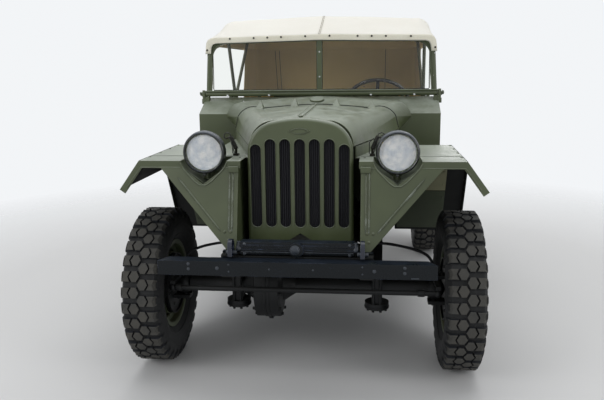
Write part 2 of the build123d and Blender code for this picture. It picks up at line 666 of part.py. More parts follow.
def fender():
    flap = (FENDER_OUTER_X - FENDER_FLAT_X, FENDER_FLAP_Z - FENDER_TOP_Z)
    flap_length = sqrt(flap[0] ** 2 + flap[1] ** 2)
    flap_in = (flap[1] / flap_length, -flap[0] / flap_length)
    bevel = tan(atan2(-flap[1], flap[0]) / 2)

    def band(depth):
        """Front outline of top and flap, with one depth all along."""
        return xz_polygon([
            (FENDER_INNER_X, FENDER_TOP_Z), (FENDER_FLAT_X, FENDER_TOP_Z),
            (FENDER_OUTER_X, FENDER_FLAP_Z),
            (FENDER_OUTER_X + flap_in[0] * depth, FENDER_FLAP_Z + flap_in[1] * depth),
            (FENDER_FLAT_X - bevel * depth, FENDER_TOP_Z - depth),
            (FENDER_INNER_X, FENDER_TOP_Z - depth)])

    behind = along_x([(FENDER_CREASE_Y, FENDER_TOP_Z + 1), (slope_y(FENDER_FLAP_Z), FENDER_FLAP_Z),
                      (FENDER_FOOT_Y, FENDER_FOOT_Z), (FENDER_FOOT_Y + 200, FENDER_FOOT_Z),
                      (FENDER_FOOT_Y + 200, FENDER_TOP_Z + 1)], FENDER_TAIL_X, 900)
    skin = along_y(band(SKIN), FENDER_FRONT_Y, FENDER_CREASE_Y + 160) - behind
    lip = along_y(band(FENDER_LIP), FENDER_FRONT_Y, FENDER_FRONT_Y + SKIN)

    # Flat inner part back to the scuttle wall
    flat_rear = SCUTTLE_FRONT_Y - SEAT_GAP
    flat = box(FENDER_INNER_X, FENDER_TAIL_X, FENDER_CREASE_Y, flat_rear,
               FENDER_TOP_Z - SKIN, FENDER_TOP_Z)

    # Sloping plate behind the wheel and the foot below it
    top_in, foot_in = fender_slope_points(SKIN)
    slope = along_x([(FENDER_CREASE_Y, FENDER_TOP_Z), (FENDER_FOOT_Y, FENDER_FOOT_Z),
                     foot_in, top_in], FENDER_SIDE_INNER_X, FENDER_OUTER_X)
    width = xz_polygon([(FENDER_SIDE_INNER_X, FENDER_TOP_Z + 1), (FENDER_FLAT_X, FENDER_TOP_Z + 1),
                        (FENDER_FLAT_X, FENDER_TOP_Z), (FENDER_OUTER_X, FENDER_FLAP_Z),
                        (FENDER_OUTER_X, FENDER_FOOT_Z - 20), (FENDER_SIDE_INNER_X, FENDER_FOOT_Z - 20)])
    slope = slope & along_y(width, FENDER_CREASE_Y - 50, FENDER_FOOT_Y + 50)
    foot = box(FENDER_SIDE_INNER_X, BODY_HALF_WIDTH, FENDER_FOOT_Y - SKIN, flat_rear,
               FENDER_FOOT_Z, FENDER_FOOT_Z + SKIN)
    strip_top, strip_foot = fender_slope_points(FENDER_LIP)
    strip = along_x([(slope_y(FENDER_FLAP_Z), FENDER_FLAP_Z), (FENDER_FOOT_Y, FENDER_FOOT_Z),
                     strip_foot, (strip_top[0] + slope_y(FENDER_FLAP_Z) - FENDER_CREASE_Y,
                                  FENDER_FLAP_Z)],
                    FENDER_OUTER_X - SKIN, FENDER_OUTER_X)

    # Inner side of the wheel arch, and the apron beside the engine
    side = along_x([(FENDER_CREASE_Y, FENDER_TOP_Z - SKIN), (flat_rear, FENDER_TOP_Z - SKIN),
                    (flat_rear, FENDER_FOOT_Z), (FENDER_FOOT_Y - SKIN, FENDER_FOOT_Z)],
                   FENDER_SIDE_INNER_X, FENDER_SIDE_INNER_X + SKIN)
    apron_foot = RAIL_TOP_Z + SEAT_GAP
    apron = box(APRON_X, APRON_X + SKIN, GUSSET_TIP_Y, flat_rear, apron_foot, FENDER_TOP_Z - SKIN)

    # Front gusset, leaning forward to its tip on the rail
    gusset_top_y = FENDER_FRONT_Y + SKIN
    lean = along_x([(gusset_top_y, FENDER_TOP_Z - SKIN), (GUSSET_TIP_Y, apron_foot),
                    (GUSSET_TIP_Y + SKIN, apron_foot), (gusset_top_y + SKIN, FENDER_TOP_Z - SKIN)],
                   APRON_X, GUSSET_TOP_X)
    triangle = xz_polygon([(APRON_X, FENDER_TOP_Z), (GUSSET_TOP_X, FENDER_TOP_Z),
                           (GUSSET_TOP_X, FENDER_TOP_Z - FENDER_LIP), (GUSSET_TIP_X, apron_foot),
                           (APRON_X, apron_foot)])
    gusset = lean & along_y(triangle, GUSSET_TIP_Y - 10, gusset_top_y + 10)
    in_front = along_x([(gusset_top_y, FENDER_TOP_Z), (GUSSET_TIP_Y, apron_foot),
                        (GUSSET_TIP_Y - 200, apron_foot), (gusset_top_y - 200, FENDER_TOP_Z)],
                       APRON_X - 1, APRON_X + SKIN + 1)
    apron = apron - in_front

    # Pocket for the headlamp
    pocket_rear = FENDER_FRONT_Y + LAMP_DEPTH + 20.0
    centre = Pos(LAMP_X, LAMP_Z)
    inner_cut = along_y(centre * recess_outline(), FENDER_FRONT_Y - 60, pocket_rear)
    outer_block = along_y(centre * recess_outline(SKIN), gusset_top_y, pocket_rear + SKIN)
    pocket = (outer_block - inner_cut) & box(0, 900, FENDER_FRONT_Y, pocket_rear + SKIN,
                                             FENDER_FOOT_Z, FENDER_TOP_Z)
    # Ledge under the edge of the hood, from the back of the radiator shell
    spread = (HOOD_EDGE_REAR[0] - HOOD_EDGE_FRONT[0]) / (HOOD_REAR_Y - HOOD_FRONT_Y)
    ledge_y = SHELL_FRONT_Y + SHELL_DEPTH + LEDGE_GAP
    front_x = HOOD_EDGE_FRONT[0] - SKIN + spread * (ledge_y - HOOD_FRONT_Y)
    rear_x = HOOD_EDGE_REAR[0] - SKIN
    meet_y = ledge_y + (FENDER_INNER_X + SKIN - front_x) / spread
    ledge_plan = Polygon((front_x, ledge_y), (front_x + SKIN, ledge_y),
                         (rear_x + SKIN, HOOD_REAR_Y), (rear_x + SKIN, flat_rear),
                         (rear_x, flat_rear), (rear_x, HOOD_REAR_Y), align=None)
    shelf_plan = Polygon((front_x, ledge_y), (FENDER_INNER_X + SKIN, ledge_y),
                         (FENDER_INNER_X + SKIN, meet_y), align=None)
    shelf = extrude(Plane.XY.offset(FENDER_TOP_Z - SKIN) * shelf_plan, SKIN, dir=(0, 0, 1))
    ledge = extrude(Plane.XY.offset(FENDER_TOP_Z - SKIN) * ledge_plan, 100, dir=(0, 0, 1))
    under_hood = along_x([(HOOD_FRONT_Y, FENDER_TOP_Z - SKIN), (flat_rear, FENDER_TOP_Z - SKIN),
                          (flat_rear, BULGE_EDGE_REAR[1] - LEDGE_GAP),
                          (BULGE_FRONT_Y, HOOD_EDGE_REAR[1] - LEDGE_GAP),
                          (HOOD_FRONT_Y, HOOD_EDGE_FRONT[1] - LEDGE_GAP)], 200, 500)
    ledge = (ledge & under_hood) + shelf
    shape = skin + lip + flat + slope + foot + strip + side + gusset
    shape = shape - inner_cut
    shape = shape + apron + ledge
    return shape + pocket


# Headlamps: a hollow bowl with a rim, and a domed glass in front
def turned_about_y(points, place):
    """A solid turned about a line along Y; points are (radius, distance back)."""
    outline = Plane(origin=place, x_dir=(1, 0, 0), z_dir=(0, 0, 1)) * Polygon(*points, align=None)
    return revolve(outline, axis=Axis(place, (0, 1, 0)))


def headlamp():
    rim_back = LAMP_RIM_DEPTH
    points = [
        (LAMP_GLASS_RADIUS, 0), (LAMP_RIM_RADIUS, 4), (LAMP_RIM_RADIUS, rim_back),
        (LAMP_RIM_RADIUS - 6, rim_back + 6), (LAMP_RIM_RADIUS - 16, 0.5 * LAMP_DEPTH),
        (0.6 * LAMP_RIM_RADIUS, 0.82 * LAMP_DEPTH), (0.3 * LAMP_RIM_RADIUS, LAMP_DEPTH),
        (0, LAMP_DEPTH), (0, LAMP_DEPTH - SKIN), (0.26 * LAMP_RIM_RADIUS, LAMP_DEPTH - SKIN),
        (0.54 * LAMP_RIM_RADIUS, 0.8 * LAMP_DEPTH - SKIN), (LAMP_RIM_RADIUS - 22, 0.46 * LAMP_DEPTH),
        (LAMP_GLASS_RADIUS - 5, rim_back), (LAMP_GLASS_RADIUS - 5, 12), (LAMP_GLASS_RADIUS, 12),
    ]
    bowl = turned_about_y(points, (LAMP_X, LAMP_FRONT_Y, LAMP_Z))
    stem_y = LAMP_FRONT_Y + 0.45 * LAMP_DEPTH
    pocket_floor = LAMP_Z - LAMP_RECESS_RADIUS - LAMP_RECESS_TIP + 0.8 * LAMP_NECK_RADIUS
    stem = rod((LAMP_X, stem_y, pocket_floor), (LAMP_X, stem_y, LAMP_Z - LAMP_RIM_RADIUS + 18),
               LAMP_NECK_RADIUS)
    return bowl + stem


def headlamp_lens():
    radius = LAMP_GLASS_RADIUS - SEAT_GAP
    return turned_about_y([(0, -7), (0.5 * radius, -5), (radius, 2), (radius, 11),
                           (0, 4)], (LAMP_X, LAMP_FRONT_Y, LAMP_Z))


# Scuttle: wall, sloping top, sides and the raised middle behind the hood
def slope_top_z(y):
    share = (y - SCUTTLE_FRONT_Y) / (SCUTTLE_REAR_Y - SCUTTLE_FRONT_Y)
    return SCUTTLE_TOP_FRONT_Z + share * (SCUTTLE_TOP_REAR_Z - SCUTTLE_TOP_FRONT_Z)


def column_point(y):
    """Point of the steering column's middle line at one place along Y."""
    return (STEER_WHEEL_X, y, STEER_WHEEL_Z - (STEER_WHEEL_Y - y) * tan(radians(COLUMN_ANGLE)))


def column_hole():
    return rod(column_point(FRONT_AXLE_Y + 600), column_point(FRONT_AXLE_Y + 900),
               COLUMN_RADIUS + 1.0)


def scuttle():
    half = SCUTTLE_HALF_WIDTH
    profile = [(SCUTTLE_FRONT_Y, SILL_Z), (SCUTTLE_FRONT_Y, SCUTTLE_TOP_FRONT_Z),
               (SCUTTLE_REAR_Y, SCUTTLE_TOP_REAR_Z), (SCUTTLE_REAR_Y, SILL_Z)]
    hollow = [(SCUTTLE_FRONT_Y + SKIN, SILL_Z - 1), (SCUTTLE_FRONT_Y + SKIN, SCUTTLE_TOP_FRONT_Z - SKIN),
              (SCUTTLE_REAR_Y + 1, SCUTTLE_TOP_REAR_Z - SKIN), (SCUTTLE_REAR_Y + 1, SILL_Z - 1)]
    shape = along_x(profile, -half, half) - along_x(hollow, -half + SKIN, half - SKIN)
    tunnel = box(-TUNNEL_HALF_WIDTH, TUNNEL_HALF_WIDTH, SCUTTLE_FRONT_Y - 1,
                 SCUTTLE_FRONT_Y + SKIN + 1, SILL_Z - 1, TUNNEL_TOP_Z)
    rails = box(-RAIL_X - RAIL_WIDTH / 2 - 1, RAIL_X + RAIL_WIDTH / 2 + 1, SCUTTLE_FRONT_Y - 1,
                SCUTTLE_FRONT_Y + SKIN + 1, SILL_Z - 1, RAIL_TOP_Z + SEAT_GAP)
    shape = shape - tunnel - rails - column_hole()
    bulge_halves = []
    front = half_shell_face(HOOD_EDGE_REAR, HOOD_SIDE_REAR, HOOD_SHOULDER_REAR,
                            HOOD_CROWN_REAR_Z, BULGE_FRONT_Y, HOOD_SKIN, 0)
    rear = half_shell_face(BULGE_EDGE_REAR, BULGE_SIDE_REAR, BULGE_SHOULDER_REAR,
                           BULGE_CROWN_REAR_Z, BULGE_REAR_Y, HOOD_SKIN, 0)
    bulge = loft([front, rear], ruled=True) + extrude(rear, SCUTTLE_REAR_Y - BULGE_REAR_Y,
                                                      dir=(0, 1, 0))
    below = along_x([(SCUTTLE_FRONT_Y, FENDER_FOOT_Z), (SCUTTLE_FRONT_Y, SCUTTLE_TOP_FRONT_Z - 1),
                     (SCUTTLE_REAR_Y + 1, SCUTTLE_TOP_REAR_Z - 1), (SCUTTLE_REAR_Y + 1, FENDER_FOOT_Z)],
                    -1, half)
    bulge = bulge - below
    shape = shape + bulge + mirrored(bulge)
    for side in (-1, 1):
        bracket_x = side * SCREEN_BRACKET_X
        shape = shape + box(bracket_x - 14, bracket_x + 14, SCREEN_Y - 16, SCREEN_Y + 16,
                            slope_top_z(SCREEN_Y - 16) - 2, SCREEN_BASE_Z - SCREEN_TUBE_RADIUS - SEAT_GAP)
    return shape


def filler_cap():
    lean = degrees(atan2(BULGE_CROWN_REAR_Z - HOOD_CROWN_REAR_Z, BULGE_REAR_Y - BULGE_FRONT_Y))
    share = (FILLER_Y - BULGE_FRONT_Y) / (BULGE_REAR_Y - BULGE_FRONT_Y)
    base_z = HOOD_CROWN_REAR_Z + share * (BULGE_CROWN_REAR_Z - HOOD_CROWN_REAR_Z)
    cap = Cylinder(FILLER_RADIUS, FILLER_HEIGHT, align=(Align.CENTER, Align.CENTER, Align.MIN))
    cap = fillet(cap.edges().group_by(Axis.Z)[-1], 0.6 * FILLER_HEIGHT)
    return Pos(0, FILLER_Y, base_z + 1.0) * Rot(lean, 0, 0) * cap


def dashboard():
    half = SCUTTLE_HALF_WIDTH - SKIN - SEAT_GAP
    front_y = SCUTTLE_REAR_Y - SKIN
    shape = box(-half, half, front_y, SCUTTLE_REAR_Y, DASH_BOTTOM_Z,
                slope_top_z(front_y) - SKIN - SEAT_GAP - 1)
    cluster = Pos(0, SCUTTLE_REAR_Y, (DASH_BOTTOM_Z + SCUTTLE_TOP_REAR_Z) / 2) * Rot(-90, 0, 0) * Cylinder(
        55, 14, align=(Align.CENTER, Align.CENTER, Align.MIN))
    return shape + cluster


def fuel_tanks():
    front_y = SCUTTLE_FRONT_Y + SKIN + SEAT_GAP
    under_scuttle = box(-TANK_HALF_WIDTH, TANK_HALF_WIDTH, front_y, SCUTTLE_REAR_Y - SKIN - SEAT_GAP,
                        TANK_BOTTOM_Z, TANK_TOP_Z)
    under_seat = box(SEAT_X - 180, SEAT_X + 180, SEAT_FRONT_Y + 60, SEAT_FRONT_Y + 360,
                     FLOOR_Z + SKIN + SEAT_GAP, FLOOR_Z + SKIN + 130)
    return [under_scuttle, under_seat]


# Body tub
def rear_fender_points(inset, foot_z):
    """Side outline of the rear fender, set in by a wall, open at the foot."""
    half_top, half_foot = REAR_FENDER_HALF_TOP, REAR_FENDER_HALF_FOOT
    rise, run = REAR_FENDER_TOP_Z - foot_z, half_foot - half_top
    length = sqrt(rise ** 2 + run ** 2)
    side_step = inset * length / rise
    top_step = inset * (length - run) / rise
    return [(REAR_AXLE_Y - half_foot + side_step, foot_z),
            (REAR_AXLE_Y - half_top + top_step, REAR_FENDER_TOP_Z - inset),
            (REAR_AXLE_Y + half_top - top_step, REAR_FENDER_TOP_Z - inset),
            (REAR_AXLE_Y + half_foot - side_step, foot_z)]


def body_side():
    outer_x = BODY_HALF_WIDTH
    inner_x = outer_x - SKIN
    front_y = SCUTTLE_REAR_Y + MIDDLE_GAP
    outline = Polygon(
        (front_y, SILL_Z), (front_y, SCUTTLE_TOP_REAR_Z - 4), (front_y + 22, SCUTTLE_TOP_REAR_Z - 30),
        (DOOR_FRONT_Y, DOOR_FRONT_TOP_Z), (DOOR_FRONT_Y, DOOR_BOTTOM_Z), (DOOR_REAR_Y, DOOR_BOTTOM_Z),
        (DOOR_REAR_Y, BODY_TOP_Z), (BODY_REAR_Y, BODY_TOP_Z), (BODY_REAR_Y, SILL_Z), align=None)
    def near(vertex, y, z):
        return abs(vertex.X - y) < 1 and abs(vertex.Y - z) < 1
    corners = [v for v in outline.vertices()
               if near(v, DOOR_FRONT_Y, DOOR_BOTTOM_Z) or near(v, DOOR_REAR_Y, DOOR_BOTTOM_Z)]
    outline = fillet(corners, DOOR_CORNER)
    top = [v for v in outline.vertices() if near(v, DOOR_REAR_Y, BODY_TOP_Z)]
    outline = fillet(top, DOOR_TOP_RADIUS)
    side = extrude(Plane.YZ.offset(inner_x) * outline, SKIN, dir=(1, 0, 0))
    well = rear_fender_points(SKIN, SILL_Z - 1)
    side = side - along_x(well, inner_x - 1, outer_x + 1)
    foot_z = SILL_Z
    shell = (along_x(rear_fender_points(0, foot_z), WHEEL_BOX_X, REAR_FENDER_OUTER_X)
             - along_x(rear_fender_points(SKIN, foot_z - 1), WHEEL_BOX_X + SKIN, REAR_FENDER_OUTER_X + 1))
    shell = shell - box(WHEEL_BOX_X - 1, inner_x, REAR_AXLE_Y - 600, REAR_AXLE_Y + 600,
                        SILL_Z - 1, FLOOR_Z)
    lip = (along_x(rear_fender_points(0, foot_z), REAR_FENDER_OUTER_X - SKIN, REAR_FENDER_OUTER_X)
           - along_x(rear_fender_points(REAR_FENDER_LIP, foot_z - 1), REAR_FENDER_OUTER_X - SKIN - 1,
                     REAR_FENDER_OUTER_X + 1))
    tube_x = outer_x - SKIN / 2
    tube_end_y = BODY_REAR_Y - SKIN - BODY_TUBE_RADIUS - MIDDLE_GAP
    tube = rod((tube_x, DOOR_REAR_Y + DOOR_TOP_RADIUS, BODY_TOP_Z), (tube_x, tube_end_y, BODY_TOP_Z),
               BODY_TUBE_RADIUS)
    return side + shell + lip + tube


def floor():
    half = BODY_HALF_WIDTH - SKIN - SEAT_GAP
    front_y, rear_y = SCUTTLE_FRONT_Y + SKIN + SEAT_GAP, BODY_REAR_Y - SKIN - SEAT_GAP
    plate = box(-half, half, front_y, rear_y, FLOOR_Z, FLOOR_Z + SKIN)
    toe_board = along_x([(front_y, TOE_TOP_Z), (TOE_REAR_Y, FLOOR_Z + SKIN), (TOE_REAR_Y, FLOOR_Z),
                         (front_y, TOE_TOP_Z - 10)], -half, half)
    tunnel_outer = box(-TUNNEL_HALF_WIDTH, TUNNEL_HALF_WIDTH, front_y, TUNNEL_REAR_Y,
                       FLOOR_Z, TUNNEL_TOP_Z)
    tunnel_inner = box(-TUNNEL_HALF_WIDTH + SKIN, TUNNEL_HALF_WIDTH - SKIN, front_y - 1,
                       TUNNEL_REAR_Y - SKIN, FLOOR_Z - 1, TUNNEL_TOP_Z - SKIN)
    shape = plate + toe_board + tunnel_outer - tunnel_inner - column_hole()
    wells = box(WHEEL_BOX_X - SEAT_GAP, BODY_HALF_WIDTH, REAR_AXLE_Y - WELL_HALF_LENGTH,
                REAR_AXLE_Y + WELL_HALF_LENGTH, FLOOR_Z - 1, FLOOR_Z + SKIN + 1)
    shape = shape - wells - mirrored(wells)
    for lever_x, lever_y, lever_z in ((0, 1010, 1010), (-46, 1060, 960)):
        foot = (lever_x, FRONT_AXLE_Y + lever_y, TUNNEL_TOP_Z - 1)
        knob = (lever_x, FRONT_AXLE_Y + lever_y + 90, lever_z)
        shape = shape + rod(foot, knob, 9) + Pos(*knob) * Sphere(19)
    return shape


def rear_panel():
    half = BODY_HALF_WIDTH - SKIN - SEAT_GAP
    panel = box(-half, half, BODY_REAR_Y - SKIN, BODY_REAR_Y, SILL_Z, BODY_TOP_Z)
    tube = rod((-half + BODY_TUBE_RADIUS, BODY_REAR_Y - SKIN / 2, BODY_TOP_Z),
               (half - BODY_TUBE_RADIUS, BODY_REAR_Y - SKIN / 2, BODY_TOP_Z), BODY_TUBE_RADIUS)
    notch = box(-RAIL_X - RAIL_WIDTH / 2 - 1, RAIL_X + RAIL_WIDTH / 2 + 1, BODY_REAR_Y - SKIN - 1,
                BODY_REAR_Y + 1, SILL_Z - 1, RAIL_TOP_Z + SEAT_GAP)
    return panel + tube - notch


# Windscreen
def arch(half_low, low_z, half_top, top_z, crown_z, radius):
    """Corner points and radii of an upright arch, from one foot to the other."""
    points = [(-half_low, low_z), (-half_top, top_z), (0, crown_z), (half_top, top_z), (half_low, low_z)]
    return points, [radius, 500.0, radius]


def arch_face(half_low, low_z, half_top, top_z, crown_z, radius, wall):
    """A band between an arch and the same arch set in by a wall."""
    points, radii = arch(half_low, low_z, half_top, top_z, crown_z, radius)
    inner, inner_radii = arch(half_low - wall, low_z, half_top - wall, top_z - wall,
                              crown_z - wall, max(radius - wall, 5.0))
    outer_path = FilletPolyline(*points, radius=radii)
    inner_path = FilletPolyline(*inner, radius=inner_radii)
    feet = [Line(points[0], inner[0]), Line(points[-1], inner[-1])]
    return make_face(Wire(outer_path.edges() + inner_path.edges() + feet))


def windscreen_frame():
    points, radii = arch(SCREEN_HALF_WIDTH, SCREEN_BASE_Z, SCREEN_TOP_HALF, SCREEN_SHOULDER_Z,
                         SCREEN_TOP_Z, SCREEN_CORNER)
    path = FilletPolyline(*[(x, SCREEN_Y, z) for x, z in points], radius=radii)
    loop = sweep(Plane(origin=path @ 0, z_dir=path % 0) * Circle(SCREEN_TUBE_RADIUS), path=path)
    base = rod((-SCREEN_BASE_REACH, SCREEN_Y, SCREEN_BASE_Z), (SCREEN_BASE_REACH, SCREEN_Y, SCREEN_BASE_Z),
               SCREEN_TUBE_RADIUS)
    inset = SCREEN_TUBE_RADIUS - 2
    bars = arch_face(SCREEN_HALF_WIDTH - inset, SCREEN_BASE_Z, SCREEN_TOP_HALF - inset,
                     SCREEN_SHOULDER_Z - inset, SCREEN_TOP_Z - inset, SCREEN_CORNER - inset,
                     SCREEN_BAR)
    frame_y = SCREEN_Y - SCREEN_BAR_DEPTH / 2
    bars = along_y(bars, frame_y, frame_y + SCREEN_BAR_DEPTH)
    foot = box(-SCREEN_HALF_WIDTH, SCREEN_HALF_WIDTH, frame_y, frame_y + SCREEN_BAR_DEPTH,
               SCREEN_BASE_Z, SCREEN_GLASS_BOTTOM_Z)
    post = box(-SCREEN_POST_WIDTH / 2, SCREEN_POST_WIDTH / 2, frame_y, frame_y + SCREEN_BAR_DEPTH,
               SCREEN_BASE_Z, SCREEN_TOP_Z - 5)
    return loop + base + bars + foot + post


def windscreen_glass():
    inset = SCREEN_TUBE_RADIUS - 2 + SCREEN_BAR + SEAT_GAP
    points, radii = arch(SCREEN_HALF_WIDTH - inset, SCREEN_BASE_Z, SCREEN_TOP_HALF - inset,
                         SCREEN_SHOULDER_Z - inset, SCREEN_TOP_Z - inset, SCREEN_CORNER - inset)
    path = FilletPolyline(*points, radius=radii)
    face = make_face(Wire(path.edges() + [Line(points[0], points[-1])]))
    pane = along_y(face, SCREEN_Y - GLASS_THICKNESS / 2, SCREEN_Y + GLASS_THICKNESS / 2)
    gap = SCREEN_POST_WIDTH / 2 + SEAT_GAP
    middle = box(-gap, gap, SCREEN_Y - 20, SCREEN_Y + 20, SCREEN_BASE_Z, SCREEN_TOP_Z + 20)
    below = box(-SCREEN_HALF_WIDTH, SCREEN_HALF_WIDTH, SCREEN_Y - 20, SCREEN_Y + 20,
                SCREEN_BASE_Z - 20, SCREEN_GLASS_BOTTOM_Z + SEAT_GAP)
    return pane - middle - below


# Canopy: roof sheet, rear curtain and bows
def canopy():
    shape = None
    faces = [Plane.XZ.offset(-section[0]) * arch_face(*section[1:3], *section[3:7], CANOPY_SKIN)
             for section in ROOF_SECTIONS]
    for first, second in zip(faces, faces[1:]):
        span = loft([first, second], ruled=True)
        shape = span if shape is None else shape + span
    lead = ROOF_SECTIONS[0]
    hem = arch_face(*lead[1:3], *lead[3:7], CANOPY_HEM)
    tail = ROOF_SECTIONS[-1]
    points, radii = arch(*tail[1:6], tail[6])
    path = FilletPolyline(*points, radius=radii)
    tail_face = make_face(Wire(path.edges() + [Line(points[0], points[-1])]))
    shape = shape + along_y(hem, lead[0], lead[0] + CANOPY_SKIN)
    wall = along_y(tail_face, tail[0] - CANOPY_SKIN, tail[0])
    low_part = box(-tail[1] + 2 * CANOPY_SKIN, tail[1] - 2 * CANOPY_SKIN, tail[0] - 20, tail[0] + 20,
                   tail[2] - 20, CURTAIN_TOP_Z + MIDDLE_GAP)
    return shape + (wall - low_part)


def bow(top_y):
    """A round bow from the pivots up and across under the roof."""
    section = [s for s in ROOF_SECTIONS if s[0] == top_y][0]
    inset = CANOPY_SKIN + BOW_RADIUS + MIDDLE_GAP
    half_top, top_z, crown_z, radius = section[3] - inset, section[4] - inset, section[5] - inset, 75.0
    points = [(-BOW_PIVOT_X, BOW_PIVOT_Y, BOW_PIVOT_Z), (-half_top, top_y, top_z),
              (0, top_y, crown_z), (half_top, top_y, top_z), (BOW_PIVOT_X, BOW_PIVOT_Y, BOW_PIVOT_Z)]
    path = FilletPolyline(*points, radius=[radius, 500.0, radius])
    return sweep(Plane(origin=path @ 0, z_dir=path % 0) * Circle(BOW_RADIUS), path=path)


def canopy_bows():
    shape = bow(FRONT_BOW_Y) + bow(REAR_BOW_Y)
    foot_z = BODY_TOP_Z + BODY_TUBE_RADIUS + SEAT_GAP
    for side in (-1, 1):
        post_x = side * (BODY_HALF_WIDTH - SKIN / 2)
        post = box(post_x - 10, post_x + 10, BOW_PIVOT_Y - 22, BOW_PIVOT_Y + 22, foot_z,
                   BOW_PIVOT_Z + 22)
        pin = rod((side * (BOW_PIVOT_X - 15), BOW_PIVOT_Y, BOW_PIVOT_Z),
                  (post_x, BOW_PIVOT_Y, BOW_PIVOT_Z), 9)
        shape = shape + post + pin
    return shape


def curtain_section(front_half, rear_half, front_y, rear_y, z, wall):
    """A U seen from above, open to the front."""
    return Plane.XY.offset(z) * Polygon(
        (-front_half, front_y), (-rear_half, rear_y), (rear_half, rear_y), (front_half, front_y),
        (front_half - wall, front_y), (rear_half - wall, rear_y - wall),
        (-rear_half + wall, rear_y - wall), (-front_half + wall, front_y), align=None)


def rear_curtain():
    low = curtain_section(CURTAIN_LOW_HALF, CURTAIN_LOW_HALF, CURTAIN_FRONT_Y, CURTAIN_FOOT_Y,
                          CURTAIN_LOW_Z, CANOPY_SKIN)
    high = curtain_section(CURTAIN_TOP_FRONT_HALF, CURTAIN_TOP_REAR_HALF, CURTAIN_FRONT_Y,
                           CANOPY_REAR_Y + CANOPY_SKIN + MIDDLE_GAP, CURTAIN_TOP_Z, CANOPY_SKIN)
    shape = loft([low, high], ruled=True)
    cut = along_x([(CURTAIN_FRONT_Y - 1, CURTAIN_LOW_Z + 180), (CURTAIN_FRONT_Y - 1, CURTAIN_TOP_Z + 10),
                   (CURTAIN_FRONT_Y + 60, CURTAIN_TOP_Z + 10)], -800, 800)
    return shape - cut


# Seats
def seat_frame(x):
    pan = box(x - SEAT_HALF_WIDTH + 10, x + SEAT_HALF_WIDTH - 10, SEAT_FRONT_Y, SEAT_FRONT_Y + SEAT_DEPTH,
              SEAT_BASE_Z - 14, SEAT_BASE_Z)
    foot_z = FLOOR_Z + SKIN + SEAT_GAP
    shape = pan
    for leg_x in (x - SEAT_HALF_WIDTH + 26, x + SEAT_HALF_WIDTH - 26):
        for leg_y in (SEAT_FRONT_Y + 24, SEAT_FRONT_Y + SEAT_DEPTH - 24):
            shape = shape + rod((leg_x, leg_y, foot_z), (leg_x, leg_y, SEAT_BASE_Z - 7), SEAT_TUBE_RADIUS)
    back_y = SEAT_FRONT_Y + SEAT_DEPTH
    foot = SEAT_BASE_Z - SEAT_TUBE_FOOT
    top_y = back_y + (SEAT_BACK_TOP_Z - foot) * tan(radians(SEAT_RAKE))
    reach = SEAT_HALF_WIDTH - 30
    points = [(x - reach, back_y, foot), (x - reach, top_y, SEAT_BACK_TOP_Z),
              (x + reach, top_y, SEAT_BACK_TOP_Z), (x + reach, back_y, foot)]
    return shape + bent_tube(points, 60.0, SEAT_TUBE_RADIUS)


def bench_frame():
    rear_y = BENCH_FRONT_Y + BENCH_DEPTH
    foot_z = FLOOR_Z + SKIN + SEAT_GAP
    shape = box(-BENCH_HALF_WIDTH, BENCH_HALF_WIDTH, BENCH_FRONT_Y, rear_y,
                SEAT_BASE_Z - 14, SEAT_BASE_Z)
    for x in (-BENCH_HALF_WIDTH + 60, 0, BENCH_HALF_WIDTH - 60):
        shape = shape + box(x - 12, x + 12, BENCH_FRONT_Y + 20, rear_y - 20, foot_z, SEAT_BASE_Z - 14)
    foot = SEAT_BASE_Z - SEAT_TUBE_FOOT
    top_z = SEAT_BACK_TOP_Z - 60
    top_y = rear_y + (top_z - foot) * tan(radians(BENCH_RAKE))
    reach = BENCH_HALF_WIDTH - 20
    points = [(-reach, rear_y, foot), (-reach, top_y, top_z), (reach, top_y, top_z), (reach, rear_y, foot)]
    return shape + bent_tube(points, 60.0, SEAT_TUBE_RADIUS)


def cushion(x0, x1, y0, z0, depth):
    block = box(x0, x1, y0, y0 + depth, z0, z0 + SEAT_PAD)
    return fillet(block.edges().filter_by(Axis.Z), 40.0)


def back_pad(x0, x1, tube_y, rake, height):
    """An upright pad that leans against a back tube, whose foot is at tube_y."""
    block = box(x0, x1, 0, SEAT_BACK_PAD, 0, height)
    block = fillet(block.edges().filter_by(Axis.Y), 40.0)
    z0 = SEAT_BASE_Z + 40
    depth = (SEAT_BACK_PAD + SEAT_TUBE_RADIUS + SEAT_GAP) / cos(radians(rake))
    y0 = tube_y + (z0 - SEAT_BASE_Z + SEAT_TUBE_FOOT) * tan(radians(rake)) - depth
    return Pos(0, y0, z0) * Rot(-rake, 0, 0) * block


def seat_cushions():
    lift = SEAT_BASE_Z + SEAT_GAP
    pads = []
    for x in (-SEAT_X, SEAT_X):
        low, high = x - SEAT_HALF_WIDTH, x + SEAT_HALF_WIDTH
        pads.append(cushion(low, high, SEAT_FRONT_Y - 10, lift, SEAT_DEPTH - SEAT_BACK_PAD - 30))
        pads.append(back_pad(low, high, SEAT_FRONT_Y + SEAT_DEPTH, SEAT_RAKE,
                             SEAT_BACK_TOP_Z - SEAT_BASE_Z - 50))
    low, high = -BENCH_HALF_WIDTH, BENCH_HALF_WIDTH
    pads.append(cushion(low, high, BENCH_FRONT_Y - 10, lift, BENCH_DEPTH - SEAT_BACK_PAD - 30))
    pads.append(back_pad(low, high, BENCH_FRONT_Y + BENCH_DEPTH, BENCH_RAKE,
                         SEAT_BACK_TOP_Z - SEAT_BASE_Z - 100))
    return pads


# Steering
def column_direction():
    return (0, -cos(radians(COLUMN_ANGLE)), -sin(radians(COLUMN_ANGLE)))


